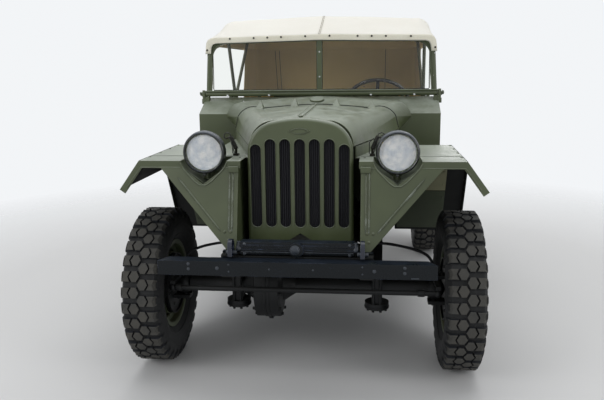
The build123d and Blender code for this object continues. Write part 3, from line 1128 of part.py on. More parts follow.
def steering_column():
    way = Vector(*column_direction())
    top = Vector(STEER_WHEEL_X, STEER_WHEEL_Y, STEER_WHEEL_Z) + way * (STEER_HUB_HEIGHT + SEAT_GAP)
    box_y = FRONT_AXLE_Y + 560
    low = column_point(box_y + 36)
    column = rod(tuple(top), low, COLUMN_RADIUS)
    rail_face = RAIL_X + RAIL_WIDTH / 2 + SEAT_GAP
    gear = box(rail_face, rail_face + 62, box_y - 70, box_y + 60, RAIL_BOTTOM_Z - 10, RAIL_TOP_Z + 20)
    arm = box(rail_face + 20, rail_face + 44, box_y - 50, box_y - 10, RAIL_BOTTOM_Z - 120, RAIL_BOTTOM_Z)
    return column + gear + arm


def steering_wheel():
    place = Plane(origin=(STEER_WHEEL_X, STEER_WHEEL_Y, STEER_WHEEL_Z), x_dir=(1, 0, 0),
                  z_dir=Vector(*column_direction()))
    rim = Torus(STEER_WHEEL_RADIUS, STEER_RIM_RADIUS)
    hub = Cylinder(34, STEER_HUB_HEIGHT, align=(Align.CENTER, Align.CENTER, Align.MIN))
    shape = rim + hub
    for spoke in range(3):
        bar = Pos(STEER_WHEEL_RADIUS / 2, 0, 6) * Box(STEER_WHEEL_RADIUS, 22, 8)
        shape = shape + Rot(0, 0, 90 + 120 * spoke) * bar
    return place * shape


# Axles: turned housings on one middle line
def axle_housing(axle_y, end_x, diff_x, diff_half):
    """Tube, bells and flange turned about the axle line."""
    flange = DIFF_FLANGE_WIDTH / 2
    bell = diff_half - 28
    left = diff_x - DIFF_BELL_LENGTH
    right = diff_x + DIFF_BELL_LENGTH
    points = [(-end_x, 0), (-end_x, AXLE_TUBE_RADIUS), (left, AXLE_TUBE_RADIUS),
              (diff_x - 0.55 * DIFF_BELL_LENGTH, 0.62 * bell), (diff_x - flange - 8, bell),
              (diff_x - flange, diff_half), (diff_x + flange, diff_half), (diff_x + flange + 8, bell),
              (diff_x + 0.55 * DIFF_BELL_LENGTH, 0.62 * bell), (right, AXLE_TUBE_RADIUS),
              (end_x, AXLE_TUBE_RADIUS), (end_x, 0)]
    housing = revolve(Polygon(*points, align=None), axis=Axis.X)
    return Pos(0, axle_y, TYRE_RADIUS) * housing


def front_axle():
    shape = axle_housing(FRONT_AXLE_Y, KINGPIN_X - 20, DIFF_X, DIFF_RADIUS)
    for side in (-1, 1):
        shape = shape + Pos(side * KINGPIN_X, FRONT_AXLE_Y, TYRE_RADIUS) * Sphere(BALL_HOUSING_RADIUS)
    nose = rod((DIFF_X, FRONT_AXLE_Y + 60, TYRE_RADIUS), (DIFF_X, FRONT_AXLE_Y + DIFF_NOSE, TYRE_RADIUS), 52)
    return shape + nose


def rear_axle():
    end_x = TRACK / 2 - HUB_INNER_REACH - 34
    shape = axle_housing(REAR_AXLE_Y, end_x, 0, DIFF_RADIUS)
    nose = rod((0, REAR_AXLE_Y - 60, TYRE_RADIUS), (0, REAR_AXLE_Y - DIFF_NOSE, TYRE_RADIUS), 52)
    shape = shape + nose
    for side in (-1, 1):
        middle = (REAR_AXLE_Y, TYRE_RADIUS)
        shape = shape + rod((side * (end_x - 8), *middle), (side * end_x, *middle), DRUM_RADIUS - 3)
        shape = shape + rod((side * (end_x - 4), *middle), (side * (end_x + 60), *middle), SPINDLE_RADIUS)
    return shape


def knuckle():
    """Left knuckle: arms above and below the ball, backing plate, spindle and steering arm."""
    outer_x = TRACK / 2 - HUB_INNER_REACH - 26
    top_gap = BALL_HOUSING_RADIUS + 6
    middle = (KINGPIN_X, FRONT_AXLE_Y, TYRE_RADIUS)
    plate = rod((outer_x - 8, FRONT_AXLE_Y, TYRE_RADIUS), (outer_x, FRONT_AXLE_Y, TYRE_RADIUS),
                DRUM_RADIUS - 3)
    shape = plate
    for way in (-1, 1):
        z0 = TYRE_RADIUS + way * top_gap
        z1 = TYRE_RADIUS + way * (top_gap + 16)
        arm = box(KINGPIN_X - 28, outer_x - 4, FRONT_AXLE_Y - 30, FRONT_AXLE_Y + 30, z0, z1)
        pin = rod((KINGPIN_X, FRONT_AXLE_Y, TYRE_RADIUS + way * (BALL_HOUSING_RADIUS + SEAT_GAP)),
                  (KINGPIN_X, FRONT_AXLE_Y, z1), 13)
        shape = shape + arm + pin
    arm_y = FRONT_AXLE_Y - STEER_ARM
    arm_z = TYRE_RADIUS + STEER_ARM_RISE + BALL_RADIUS + SEAT_GAP
    shape = shape + box(KINGPIN_X - 12, KINGPIN_X + 12, arm_y - 12, FRONT_AXLE_Y + 6, arm_z, arm_z + 18)
    spindle = rod((outer_x - 4, FRONT_AXLE_Y, TYRE_RADIUS), (outer_x + 60, FRONT_AXLE_Y, TYRE_RADIUS),
                  SPINDLE_RADIUS)
    return shape + spindle


def tie_rod():
    ball_z = TYRE_RADIUS + STEER_ARM_RISE
    arm_y = FRONT_AXLE_Y - STEER_ARM
    shape = rod((-KINGPIN_X, arm_y, ball_z), (KINGPIN_X, arm_y, ball_z), TIE_ROD_RADIUS)
    for side in (-1, 1):
        shape = shape + Pos(side * KINGPIN_X, arm_y, ball_z) * Sphere(BALL_RADIUS)
    return shape


# Springs
def leaf_bar(y0, z0, y1, z1, depth):
    """A straight slanted bar seen from the side."""
    way = Vector(y1 - y0, z1 - z0, 0).normalized()
    step = Vector(way.Y, -way.X, 0) * depth
    return [(y0, z0), (y1, z1), (y1 + step.X, z1 + step.Y), (y0 + step.X, z0 + step.Y)]


def front_spring():
    x0, x1 = FRONT_SPRING_X - SPRING_WIDTH / 2, FRONT_SPRING_X + SPRING_WIDTH / 2
    rail_face = RAIL_X + RAIL_WIDTH / 2 + SEAT_GAP
    rear_y = FRONT_AXLE_Y + FRONT_SPRING_LENGTH
    shape = None
    for axle_z, rear_z in ((TYRE_RADIUS + 62, RAIL_BOTTOM_Z - 4), (TYRE_RADIUS - 58, RAIL_BOTTOM_Z - 110)):
        for leaf in range(FRONT_SPRING_LEAVES):
            share = leaf / FRONT_SPRING_LEAVES * 0.7
            y0 = FRONT_AXLE_Y + 30 + share * (FRONT_SPRING_LENGTH - 30)
            z0 = axle_z + share * (rear_z - axle_z) - leaf * LEAF_THICKNESS
            z1 = rear_z - leaf * LEAF_THICKNESS
            points = leaf_bar(y0, z0, rear_y, z1, LEAF_THICKNESS + 0.5)
            bar = along_x(points, x0, x1)
            shape = bar if shape is None else shape + bar
    anchor = box(max(rail_face, x0), x1 + 6, rear_y - 90, rear_y + 20, RAIL_BOTTOM_Z - 190, RAIL_BOTTOM_Z + 40)
    perch = box(x0, x1, FRONT_AXLE_Y - 40, FRONT_AXLE_Y + 40, TYRE_RADIUS - 72, TYRE_RADIUS + 66)
    perch = perch - rod((x0 - 1, FRONT_AXLE_Y, TYRE_RADIUS), (x1 + 1, FRONT_AXLE_Y, TYRE_RADIUS),
                        AXLE_TUBE_RADIUS + SEAT_GAP)
    pad = rod((FRONT_SPRING_X, FRONT_AXLE_Y, TYRE_RADIUS - 102), (FRONT_SPRING_X, FRONT_AXLE_Y, TYRE_RADIUS - 71), 58)
    return shape + anchor + perch + pad


def rear_spring():
    x0, x1 = REAR_SPRING_X - SPRING_WIDTH / 2, REAR_SPRING_X + SPRING_WIDTH / 2
    rail_face = RAIL_X + RAIL_WIDTH / 2 + SEAT_GAP
    middle_z = TYRE_RADIUS + AXLE_TUBE_RADIUS + SEAT_GAP
    end_z = RAIL_BOTTOM_Z - 20
    rise = end_z - middle_z - REAR_SPRING_LEAVES * LEAF_THICKNESS
    radius = (REAR_SPRING_HALF ** 2 + rise ** 2) / (2 * rise)
    centre_z = middle_z + REAR_SPRING_LEAVES * LEAF_THICKNESS + radius
    shape = None
    for leaf in range(REAR_SPRING_LEAVES):
        reach = REAR_SPRING_HALF * (1 - 0.8 * leaf / REAR_SPRING_LEAVES)
        inner_r = radius + leaf * LEAF_THICKNESS - 0.3
        outer_r = radius + (leaf + 1) * LEAF_THICKNESS
        def point(r, y):
            return (REAR_AXLE_Y + y, centre_z - sqrt(r * r - y * y))
        face = make_face(Wire([
            ThreePointArc(point(inner_r, -reach), point(inner_r, 0), point(inner_r, reach)),
            Line(point(inner_r, reach), point(outer_r, reach)),
            ThreePointArc(point(outer_r, reach), point(outer_r, 0), point(outer_r, -reach)),
            Line(point(outer_r, -reach), point(inner_r, -reach))]))
        bar = extrude(Plane.YZ.offset(x0) * face, SPRING_WIDTH, dir=(1, 0, 0))
        shape = bar if shape is None else shape + bar
    for way in (-1, 1):
        end_y = REAR_AXLE_Y + way * REAR_SPRING_HALF
        eye = rod((rail_face, end_y, end_z), (x1 + 6, end_y, end_z), 17)
        hanger = box(rail_face, rail_face + 12, end_y - 24, end_y + 24, end_z - 22, RAIL_BOTTOM_Z + 50)
        shape = shape + eye + hanger
    return shape


def driveshafts():
    """Front and rear shafts with a round joint at each end."""
    gearbox_rear = ENGINE_FRONT_Y + ENGINE_LENGTH + GEARBOX_LENGTH + SEAT_GAP
    reach = JOINT_RADIUS + SEAT_GAP
    ends = (
        ((DIFF_X, FRONT_AXLE_Y + DIFF_NOSE + reach, TYRE_RADIUS),
         (TRANSFER_X, gearbox_rear - TRANSFER_LENGTH - reach, TRANSFER_BOTTOM_Z + 70)),
        ((0, gearbox_rear + reach, RAIL_BOTTOM_Z - 75),
         (0, REAR_AXLE_Y - DIFF_NOSE - reach, TYRE_RADIUS)),
    )
    shafts = []
    for start, end in ends:
        shafts.append(rod(start, end, SHAFT_RADIUS) + Pos(*start) * Sphere(JOINT_RADIUS)
                      + Pos(*end) * Sphere(JOINT_RADIUS))
    return shafts


def exhaust():
    x, start_y = EXHAUST_X, EXHAUST_START_Y
    run_z = RAIL_BOTTOM_Z - 50
    tail_y = BODY_REAR_Y - 60
    points = [(ENGINE_HALF_WIDTH + SEAT_GAP, start_y, 760), (x, start_y, 760),
              (x, start_y + EXHAUST_DROP_RUN, run_z), (x, tail_y, run_z)]
    pipe = bent_tube(points, 30.0, EXHAUST_RADIUS)
    muffler_y = FRONT_AXLE_Y + 1080
    muffler = rod((x, muffler_y, run_z), (x, muffler_y + 430, run_z), 58)
    hanger_y = FRONT_AXLE_Y + CROSSMEMBERS[-1][0]
    hanger = rod((x, hanger_y, run_z), (x, hanger_y, RAIL_BOTTOM_Z + RAIL_WALL - SEAT_GAP), 7)
    return pipe + muffler + hanger


# Wheels and tyres, built about the X direction, outer side towards +X
def rim_and_disc():
    half = RIM_WIDTH / 2
    outer = RIM_RADIUS - SEAT_GAP
    well = outer - RIM_WELL_DEPTH
    flange = outer + RIM_FLANGE
    points = [(-half, flange), (-half + RIM_WALL, flange), (-half + RIM_WALL, outer),
              (-0.4 * half, outer), (-0.3 * half, well), (0.3 * half, well), (0.4 * half, outer),
              (half - RIM_WALL, outer), (half - RIM_WALL, flange), (half, flange),
              (half, outer - RIM_WALL), (0.4 * half + 4, outer - RIM_WALL), (0.3 * half + 4, well - RIM_WALL),
              (-0.3 * half - 4, well - RIM_WALL), (-0.4 * half - 4, outer - RIM_WALL), (-half, outer - RIM_WALL)]
    rim = revolve(Polygon(*points, align=None), axis=Axis.X)
    face = DISC_OFFSET
    flat = STUD_CIRCLE + STUD_RADIUS
    disc_points = [(face - 8, HUB_RADIUS - 4), (face, HUB_RADIUS - 4), (face, flat), (face + 16, 104),
                   (face + 6, 134), (face - 12, well - 4), (face - 18, well - 4), (face - 2, 134),
                   (face + 8, 104), (face - 8, flat)]
    disc = revolve(Polygon(*disc_points, align=None), axis=Axis.X)
    for number in range(DISC_HOLES):
        turn = Rot(360 / DISC_HOLES * (number + 0.5), 0, 0)
        disc = disc - turn * Pos(face, 0, 142) * Rot(0, 90, 0) * Cylinder(16, 80)
    return rim + disc


def wheel():
    face = DISC_OFFSET
    drum_x = -HUB_INNER_REACH
    bore = SPINDLE_RADIUS + SPINDLE_CLEARANCE
    drum = revolve(Polygon((drum_x - 20, DRUM_RADIUS), (drum_x - 20, DRUM_RADIUS + 5),
                           (face - 12, DRUM_RADIUS + 5), (face - 8, bore + 1),
                           (face - 16, bore + 1), (face - 20, DRUM_RADIUS), align=None), axis=Axis.X)
    hub = revolve(Polygon((-10, bore), (-10, HUB_RADIUS), (face + 20, HUB_RADIUS),
                          (face + 26, HUB_CAP_RADIUS), (HUB_REACH - 6, HUB_CAP_RADIUS),
                          (HUB_REACH, HUB_CAP_RADIUS - 10), (HUB_REACH, 0), (HUB_REACH - 10, 0),
                          (HUB_REACH - 16, bore), align=None), axis=Axis.X)
    shape = rim_and_disc() + drum + hub
    for number in range(STUD_COUNT):
        turn = Rot(360 / STUD_COUNT * number, 0, 0)
        shape = shape + turn * Pos(face + 12, 0, STUD_CIRCLE + 4) * Rot(0, 90, 0) * Cylinder(STUD_RADIUS, 20)
    return shape


def tyre():
    bead, half, tread = RIM_WIDTH / 2 - RIM_WALL - SEAT_GAP, TYRE_WIDTH / 2, TREAD_WIDTH / 2
    inner = RIM_RADIUS
    wall = TYRE_RADIUS - inner
    profile = [(bead, inner), (bead, inner + RIM_FLANGE + 2), (half - 6, inner + 0.3 * wall), (half, inner + 0.52 * wall),
               (half - 1, inner + 0.76 * wall), (tread + 4, TYRE_RADIUS - 14), (tread - 4, TYRE_RADIUS)]
    points = profile + [(-x, r) for x, r in reversed(profile)]
    return revolve(Polygon(*points, align=None), axis=Axis.X)


def on_corner(shape, side, axle_y):
    """Place a wheel or tyre on a corner, its outer side outwards."""
    turned = shape if side > 0 else Rot(0, 0, 180) * shape
    return Pos(side * TRACK / 2, axle_y, TYRE_RADIUS) * turned


def on_tail(shape):
    return Pos(0, TAIL_Y - TYRE_WIDTH / 2, SPARE_Z) * Rot(0, 0, 90) * shape


def spare_carrier():
    """Plate on the tail with a boss behind the wheel disc and a clamp in front of it."""
    face_y = BODY_REAR_Y + SEAT_GAP
    wheel_y = TAIL_Y - TYRE_WIDTH / 2
    disc_back, disc_front = wheel_y + DISC_OFFSET - 8, wheel_y + DISC_OFFSET
    plate = box(-120, 120, face_y, face_y + PLATE, SPARE_Z - 140, SPARE_Z + 140)
    boss = rod((0, face_y, SPARE_Z), (0, disc_back - SEAT_GAP, SPARE_Z), HUB_RADIUS + 8)
    stub = rod((0, face_y, SPARE_Z), (0, disc_front + 40, SPARE_Z), SPINDLE_RADIUS)
    clamp = rod((0, disc_front + SEAT_GAP, SPARE_Z), (0, disc_front + 12, SPARE_Z), HUB_RADIUS + 8)
    return plate + boss + stub + clamp


def rear_tow_hitch():
    back_y = RAIL_REAR_Y
    plate = box(-70, 70, back_y, back_y + 12, RAIL_BOTTOM_Z - 90, RAIL_TOP_Z - 20)
    arm = box(-16, 16, back_y, back_y + 90, RAIL_BOTTOM_Z - 84, RAIL_BOTTOM_Z - 44)
    ring = Pos(0, back_y + 110, RAIL_BOTTOM_Z - 64) * (Cylinder(40, 26) - Cylinder(20, 30))
    return plate + arm + ring


def hood_latch(x, y):
    base_z = FENDER_TOP_Z + SEAT_GAP
    base = box(x - 12, x + 12, y - 16, y + 16, base_z, base_z + 8)
    post = rod((x, y, base_z), (x, y, base_z + 34), 6)
    coil = rod((x, y, base_z + 30), (x + 24, y, base_z + 88), 9)
    hook = rod((x + 22, y, base_z + 86), (x + 46, y, base_z + 76), 4)
    return base + post + coil + hook


def brake_hose():
    radii = []
    for before, here, after in zip(HOSE_ROUTE, HOSE_ROUTE[1:], HOSE_ROUTE[2:]):
        first = Vector(*here) - Vector(*before)
        second = Vector(*after) - Vector(*here)
        turn = first.get_angle(second)
        radii.append(0.45 * min(first.length, second.length) / tan(radians(turn / 2)))
    path = FilletPolyline(*HOSE_ROUTE, radius=radii)
    return sweep(Plane(origin=path @ 0, z_dir=path % 0) * Circle(HOSE_RADIUS), path=path)


def tail_lamp():
    return rod((-TAIL_LAMP_X, BODY_REAR_Y + SEAT_GAP, TAIL_LAMP_Z),
               (-TAIL_LAMP_X, BODY_REAR_Y + 44, TAIL_LAMP_Z), 40)


def build():
    os.makedirs("parts", exist_ok=True)
    save("frame", frame())
    save("bumper", bumper())
    save("front_crossmember", front_crossmember())
    save("tow_hooks", *both_sides(tow_hook()))
    save("grille_shell", grille_shell())
    save("radiator", radiator())
    save("engine", engine())
    save("gearbox", gearbox())
    save("splash_shields", *both_sides(splash_shield()))
    half = hood_half()
    save("hood_left", half)
    save("hood_right", mirrored(half))
    save("hood_hinge", hood_hinge())
    side_fender = fender()
    save("fender_left", side_fender)
    save("fender_right", mirrored(side_fender))
    save("headlamps", *both_sides(headlamp()))
    save("headlamp_lenses", *both_sides(headlamp_lens()))
    save("scuttle", scuttle())
    save("filler_cap", filler_cap())
    save("dashboard", dashboard())
    save("fuel_tanks", *fuel_tanks())
    side = body_side()
    save("body_side_left", side)
    save("body_side_right", mirrored(side))
    save("floor", floor())
    save("rear_panel", rear_panel())
    save("windscreen_frame", windscreen_frame())
    save("windscreen_glass", windscreen_glass())
    save("canopy", canopy())
    save("canopy_bows", canopy_bows())
    save("rear_curtain", rear_curtain())
    save("seat_frames", seat_frame(-SEAT_X), seat_frame(SEAT_X), bench_frame())
    save("seat_cushions", *seat_cushions())
    save("steering_column", steering_column())
    save("steering_wheel", steering_wheel())
    save("front_axle", front_axle())
    save("rear_axle", rear_axle())
    left_knuckle = knuckle()
    save("knuckle_left", left_knuckle)
    save("knuckle_right", mirrored(left_knuckle))
    save("tie_rod", tie_rod())
    save("front_springs", *both_sides(front_spring()))
    save("rear_springs", *both_sides(rear_spring()))
    save("driveshafts", *driveshafts())
    save("exhaust", exhaust())
    one_wheel, one_tyre = wheel(), tyre()
    for name, side_sign, axle_y in CORNERS:
        save(f"wheel_{name}", on_corner(one_wheel, side_sign, axle_y))
        save(f"tyre_{name}", on_corner(one_tyre, side_sign, axle_y))
    save("spare_wheel", on_tail(rim_and_disc()))
    save("spare_tyre", on_tail(one_tyre))
    save("spare_carrier", spare_carrier())
    save("rear_tow_hitch", rear_tow_hitch())
    save("hood_latches", *both_sides(hood_latch(LATCH_X, LATCH_Y)))
    save("brake_hoses", *both_sides(brake_hose()))
    save("tail_lamp", tail_lamp())


build()
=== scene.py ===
"""Looks of a light army 4x4 car with a canvas canopy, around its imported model.

Metres. +Z is up, the car faces -Y and +X is the driver's side.
"""
from math import cos, hypot, pi, radians, sin, sqrt, tan

import bmesh
import bpy
from mathutils import Matrix, Vector
from mathutils.bvhtree import BVHTree


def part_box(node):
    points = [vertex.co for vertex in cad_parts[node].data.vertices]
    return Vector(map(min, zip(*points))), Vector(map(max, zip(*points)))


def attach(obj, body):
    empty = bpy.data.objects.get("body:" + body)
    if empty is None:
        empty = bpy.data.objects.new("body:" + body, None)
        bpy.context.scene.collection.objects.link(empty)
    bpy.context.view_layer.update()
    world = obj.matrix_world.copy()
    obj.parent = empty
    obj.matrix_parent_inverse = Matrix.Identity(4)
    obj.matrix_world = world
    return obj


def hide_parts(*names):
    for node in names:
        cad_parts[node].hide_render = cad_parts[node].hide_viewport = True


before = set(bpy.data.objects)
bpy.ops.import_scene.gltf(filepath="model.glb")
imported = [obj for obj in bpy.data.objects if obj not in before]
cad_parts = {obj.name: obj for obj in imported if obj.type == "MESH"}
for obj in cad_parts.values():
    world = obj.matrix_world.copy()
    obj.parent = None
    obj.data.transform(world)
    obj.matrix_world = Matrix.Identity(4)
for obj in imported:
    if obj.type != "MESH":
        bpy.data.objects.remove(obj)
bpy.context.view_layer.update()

# Camera, fitted to the photograph: place, turns in degrees, lens in millimetres
CAMERA_PLACE = (0.310, -4.238, 1.428)
CAMERA_YAW = 6.16
CAMERA_PITCH = -11.45
CAMERA_ROLL = -0.65
CAMERA_LENS = 39.2

# Places that the pieces share with the car, and directions
FRONT_AXLE_Y = -1.175
REAR_AXLE_Y = 0.925
AXLE_Z = 0.377
TRACK_HALF = 0.723
SHELL_FRONT_Y = FRONT_AXLE_Y - 0.268
BUMPER_FRONT_Y = FRONT_AXLE_Y - 0.500
SCREEN_Y = FRONT_AXLE_Y + 0.850
SCREEN_HALF_WIDTH = 0.667
SCUTTLE_FRONT_Y = FRONT_AXLE_Y + 0.583
SCUTTLE_REAR_Y = FRONT_AXLE_Y + 0.880
BODY_HALF_WIDTH = 0.690
BODY_REAR_Y = FRONT_AXLE_Y + 2.625
CORNERS = ("front_left", "front_right", "rear_left", "rear_right")
SIDES = ((1, "left"), (-1, "right"))
BOTH_SIDES = (-1, 1)
ACROSS = (1, 0, 0)
BACK = (0, 1, 0)
FORWARD = (0, -1, 0)
UP = (0, 0, 1)
DOWN = (0, 0, -1)


# Materials
OLIVE = (72, 80, 54)
# Paler colour mixed into upward faces: dusting, and also a painted bluish sheen of the sky on the olive paint
OLIVE_DUST_AND_SHEEN = (174, 182, 172)


def rgb(red, green, blue):
    """A screen colour from 0 to 255 as linear values."""
    shares = (level / 255 for level in (red, green, blue))
    return (*(part / 12.92 if part <= 0.04045 else ((part + 0.055) / 1.055) ** 2.4 for part in shares), 1.0)


def scaled(colour, factor):
    return [min(1.0, factor * part) for part in colour[:3]] + [1.0]


def add_node(tree, kind, inputs=None, **settings):
    """A new node; its inputs are values or other nodes' outputs."""
    made = tree.nodes.new("ShaderNode" + kind)
    for key, value in settings.items():
        setattr(made, key, value)
    for key, value in (inputs or {}).items():
        if isinstance(value, bpy.types.NodeSocket):
            tree.links.new(value, made.inputs[key])
        else:
            made.inputs[key].default_value = value
    return made


class Shader:
    """A material, with short calls that add and join its nodes."""

    def __init__(self, name, colour, roughness, **sockets):
        self.material = bpy.data.materials.new(name)
        self.material.use_nodes = True
        self.tree = self.material.node_tree
        self.tree.nodes.clear()
        self.surface = self.add("BsdfPrincipled", {"Base Color": colour, "Roughness": roughness})
        for key, value in sockets.items():
            self.surface.inputs[key.replace("_", " ")].default_value = value
        self.output = self.add("OutputMaterial", {"Surface": self.surface.outputs[0]})
        self.place = self.add("TexCoord").outputs["Object"]
        self.true_normal = self.add("NewGeometry").outputs["Normal"]

    def add(self, kind, inputs=None, **settings):
        return add_node(self.tree, kind, inputs, **settings)

    def link(self, value, key):
        self.tree.links.new(value, self.surface.inputs[key])

    def stretched(self, scale):
        return self.add("Mapping", {"Vector": self.place, "Scale": scale}).outputs[0]

    def noise(self, scale, detail=3.0, roughness=0.55, vector=None):
        inputs = {"Vector": vector or self.place, "Scale": scale, "Detail": detail, "Roughness": roughness}
        return self.add("TexNoise", inputs).outputs["Fac"]

    def wave(self, scale, axis, distortion=0.0):
        inputs = {"Vector": self.place, "Scale": scale, "Distortion": distortion}
        return self.add("TexWave", inputs, bands_direction=axis).outputs["Fac"]

    def ramp(self, value, low, high, to_low=0.0, to_high=1.0):
        inputs = {0: value, 1: low, 2: high, 3: to_low, 4: to_high}
        return self.add("MapRange", inputs).outputs[0]

    def worked_out(self, operation, first, second):
        return self.add("Math", {0: first, 1: second}, operation=operation).outputs[0]

    def times(self, first, second):
        return self.worked_out("MULTIPLY", first, second)

    def plus(self, first, second):
        return self.worked_out("ADD", first, second)

    def larger(self, first, second):
        return self.worked_out("MAXIMUM", first, second)

    def mix(self, share, first, second):
        return self.add("MixRGB", {"Fac": share, "Color1": first, "Color2": second}).outputs[0]

    def facing_up(self, low, high):
        return self.ramp(self.add("SeparateXYZ", {0: self.true_normal}).outputs[2], low, high)

    def soft_edges(self, radius):
        """A normal that rounds sharp edges, and a mask of where they are."""
        rounded = self.add("Bevel", {"Radius": radius}, samples=4).outputs[0]
        along = self.add("VectorMath", {0: rounded, 1: self.true_normal}, operation="DOT_PRODUCT")
        return rounded, self.ramp(along.outputs["Value"], 0.96, 0.80)

    def bump(self, height, distance, normal=None):
        inputs = {"Height": height, "Distance": distance, "Strength": 1.0}
        if normal is not None:
            inputs["Normal"] = normal
        return self.add("Bump", inputs).outputs[0]

    def clear_where(self, share, tint=(1.0, 1.0, 1.0, 1.0)):
        """Let that share of the light pass straight through."""
        clear = self.add("BsdfTransparent", {"Color": tint})
        mixed = self.add("MixShader", {0: share, 1: self.surface.outputs[0], 2: clear.outputs[0]})
        self.tree.links.new(mixed.outputs[0], self.output.inputs["Surface"])


def paint(name, colour, dust, worn, roughness, edge=0.0025, dusty=0.45, wear_and_highlight_share=0.5, scratches=0.0,
          shine=0.5):
    """Sprayed paint over sheet metal: uneven tone, paler on upward faces, paler at edges, slightly wavy. The
    pale colour on upward faces is settled dusting, and where it is bluish, as on the olive, black, hook and
    rim looks, also a painted sheen of the sky. The pale edge colour is wear, and on the black, hook and rim
    looks, the look of the fender ribs and the look of the crossmember beads also a painted highlight.
    """
    colour, dust, worn = rgb(*colour), rgb(*dust), rgb(*worn)
    s = Shader(name, colour, roughness, Specular_IOR_Level=shine)
    broad = s.noise(2.3, 4.0)
    patches = s.noise(11.0, 5.0, 0.65)
    tone = s.mix(s.ramp(broad, 0.32, 0.68), scaled(colour, 0.78), scaled(colour, 1.22))
    # Upward faces: the colour mixed in here is dusting, and on the bluish looks also a painted sheen
    dust_and_sheen_mask = s.times(s.facing_up(0.25, 0.95), s.ramp(patches, 0.30, 0.72, 0.35, 1.0))
    tone = s.mix(s.times(dust_and_sheen_mask, dusty), tone, dust)
    rounded, edges = s.soft_edges(edge)
    # Edges: the colour mixed in here is wear, and on the shiny looks also a painted highlight
    rubbed = s.times(edges, s.ramp(patches, 0.48, 0.64))
    tone = s.mix(s.times(rubbed, wear_and_highlight_share), tone, worn)
    if scratches:
        lines = s.noise(60.0, 4.0, 0.7, s.stretched((0.25, 1.0, 6.0)))
        marks = s.times(s.ramp(lines, 0.66, 0.72), s.ramp(patches, 0.5, 0.6))
        tone = s.mix(s.times(marks, scratches), tone, worn)
    s.link(tone, "Base Color")
    dull = s.ramp(patches, 0.3, 0.7, roughness - 0.07, roughness + 0.10)
    s.link(s.plus(dull, s.times(dust_and_sheen_mask, 0.18)), "Roughness")
    waves = s.bump(s.noise(5.0, 1.0), 0.0035, rounded)
    s.link(s.bump(s.noise(95.0, 2.0), 0.00012, waves), "Normal")
    return s.material


def rubber(name, colour, dust, dusty, grain=260.0):
    colour, dust = rgb(*colour), rgb(*dust)
    s = Shader(name, colour, 0.78, Specular_IOR_Level=0.35)
    patches = s.noise(9.0, 5.0, 0.6)
    specks = s.noise(grain, 3.0, 0.7)
    tone = s.mix(s.times(s.ramp(patches, 0.35, 0.7), dusty), colour, dust)
    s.link(s.mix(s.ramp(specks, 0.55, 0.8, 0.0, 0.35), tone, dust), "Base Color")
    s.link(s.ramp(patches, 0.3, 0.7, 0.62, 0.88), "Roughness")
    s.link(s.bump(specks, 0.0006), "Normal")
    return s.material


def canvas(name, colour, shade, weave=620.0, stains=0.25):
    """Woven cloth: threads along each direction, faint stains and folds."""
    colour, shade = rgb(*colour), rgb(*shade)
    s = Shader(name, colour, 0.88, Specular_IOR_Level=0.25, Sheen_Weight=0.25, Sheen_Roughness=0.5)
    patches = s.noise(3.1, 5.0, 0.62)
    threads = s.plus(s.wave(weave, "X", 1.2), s.plus(s.wave(weave, "Y", 1.2), s.wave(weave, "Z", 1.2)))
    tone = s.mix(s.times(s.ramp(patches, 0.42, 0.75), stains), colour, shade)
    tone = s.mix(s.ramp(s.noise(240.0, 2.0, 0.5), 0.35, 0.75, 0.0, 0.16), tone, shade)
    s.link(s.mix(s.ramp(threads, 0.6, 2.4, 0.14, 0.0), tone, shade), "Base Color")
    folds = s.bump(s.noise(7.0, 3.0, 0.5, s.stretched((1.0, 0.35, 1.0))), 0.006)
    s.link(s.bump(threads, 0.00035, folds), "Normal")
    return s.material


def leather_cloth(name, colour, shade):
    s = Shader(name, rgb(*colour), 0.55, Specular_IOR_Level=0.4)
    patches = s.noise(6.0, 5.0, 0.6)
    grain = s.add("TexVoronoi", {"Vector": s.place, "Scale": 420.0}, feature="DISTANCE_TO_EDGE").outputs[0]
    s.link(s.mix(s.ramp(patches, 0.35, 0.7), rgb(*colour), rgb(*shade)), "Base Color")
    s.link(s.ramp(patches, 0.3, 0.7, 0.42, 0.68), "Roughness")
    s.link(s.bump(grain, 0.0006, s.bump(patches, 0.004)), "Normal")
    return s.material


def bare_metal(name, colour, roughness, stain=0.3):
    colour = rgb(*colour)
    s = Shader(name, colour, roughness, Metallic=1.0)
    patches = s.noise(26.0, 4.0, 0.6)
    s.link(s.mix(s.times(s.ramp(patches, 0.4, 0.75), stain), colour, scaled(colour, 0.45)), "Base Color")
    s.link(s.ramp(patches, 0.3, 0.7, roughness, roughness + 0.15), "Roughness")
    return s.material


def glass(name, tint, roughness=0.0, bump_scale=0.0):
    """Clear glass that lets light through to what lies behind it."""
    s = Shader(name, tint, roughness, Transmission_Weight=1.0, IOR=1.33)
    if bump_scale:
        s.link(s.bump(s.noise(bump_scale, 1.0), 0.0008), "Normal")
    s.clear_where(s.add("LightPath").outputs["Is Shadow Ray"], tint)
    return s.material


def pressed_glass(name):
    """Fluted glass that lets part of the light through and shows the bowl behind it; the rest it scatters as
    a pale, mottled colour, a painted reflection of the bright bowl and sky.
    """
    s = Shader(name, rgb(226, 232, 238), 0.10, Transmission_Weight=0.42, IOR=1.45)
    patches = s.ramp(s.noise(34.0, 3.0, 0.6), 0.38, 0.66)
    # Pale mottled colour: painted reflection of the bright bowl and sky
    s.link(s.mix(patches, rgb(206, 212, 220), rgb(246, 246, 242)), "Base Color")
    s.link(s.bump(s.noise(38.0, 2.0), 0.0015), "Normal")
    return s.material


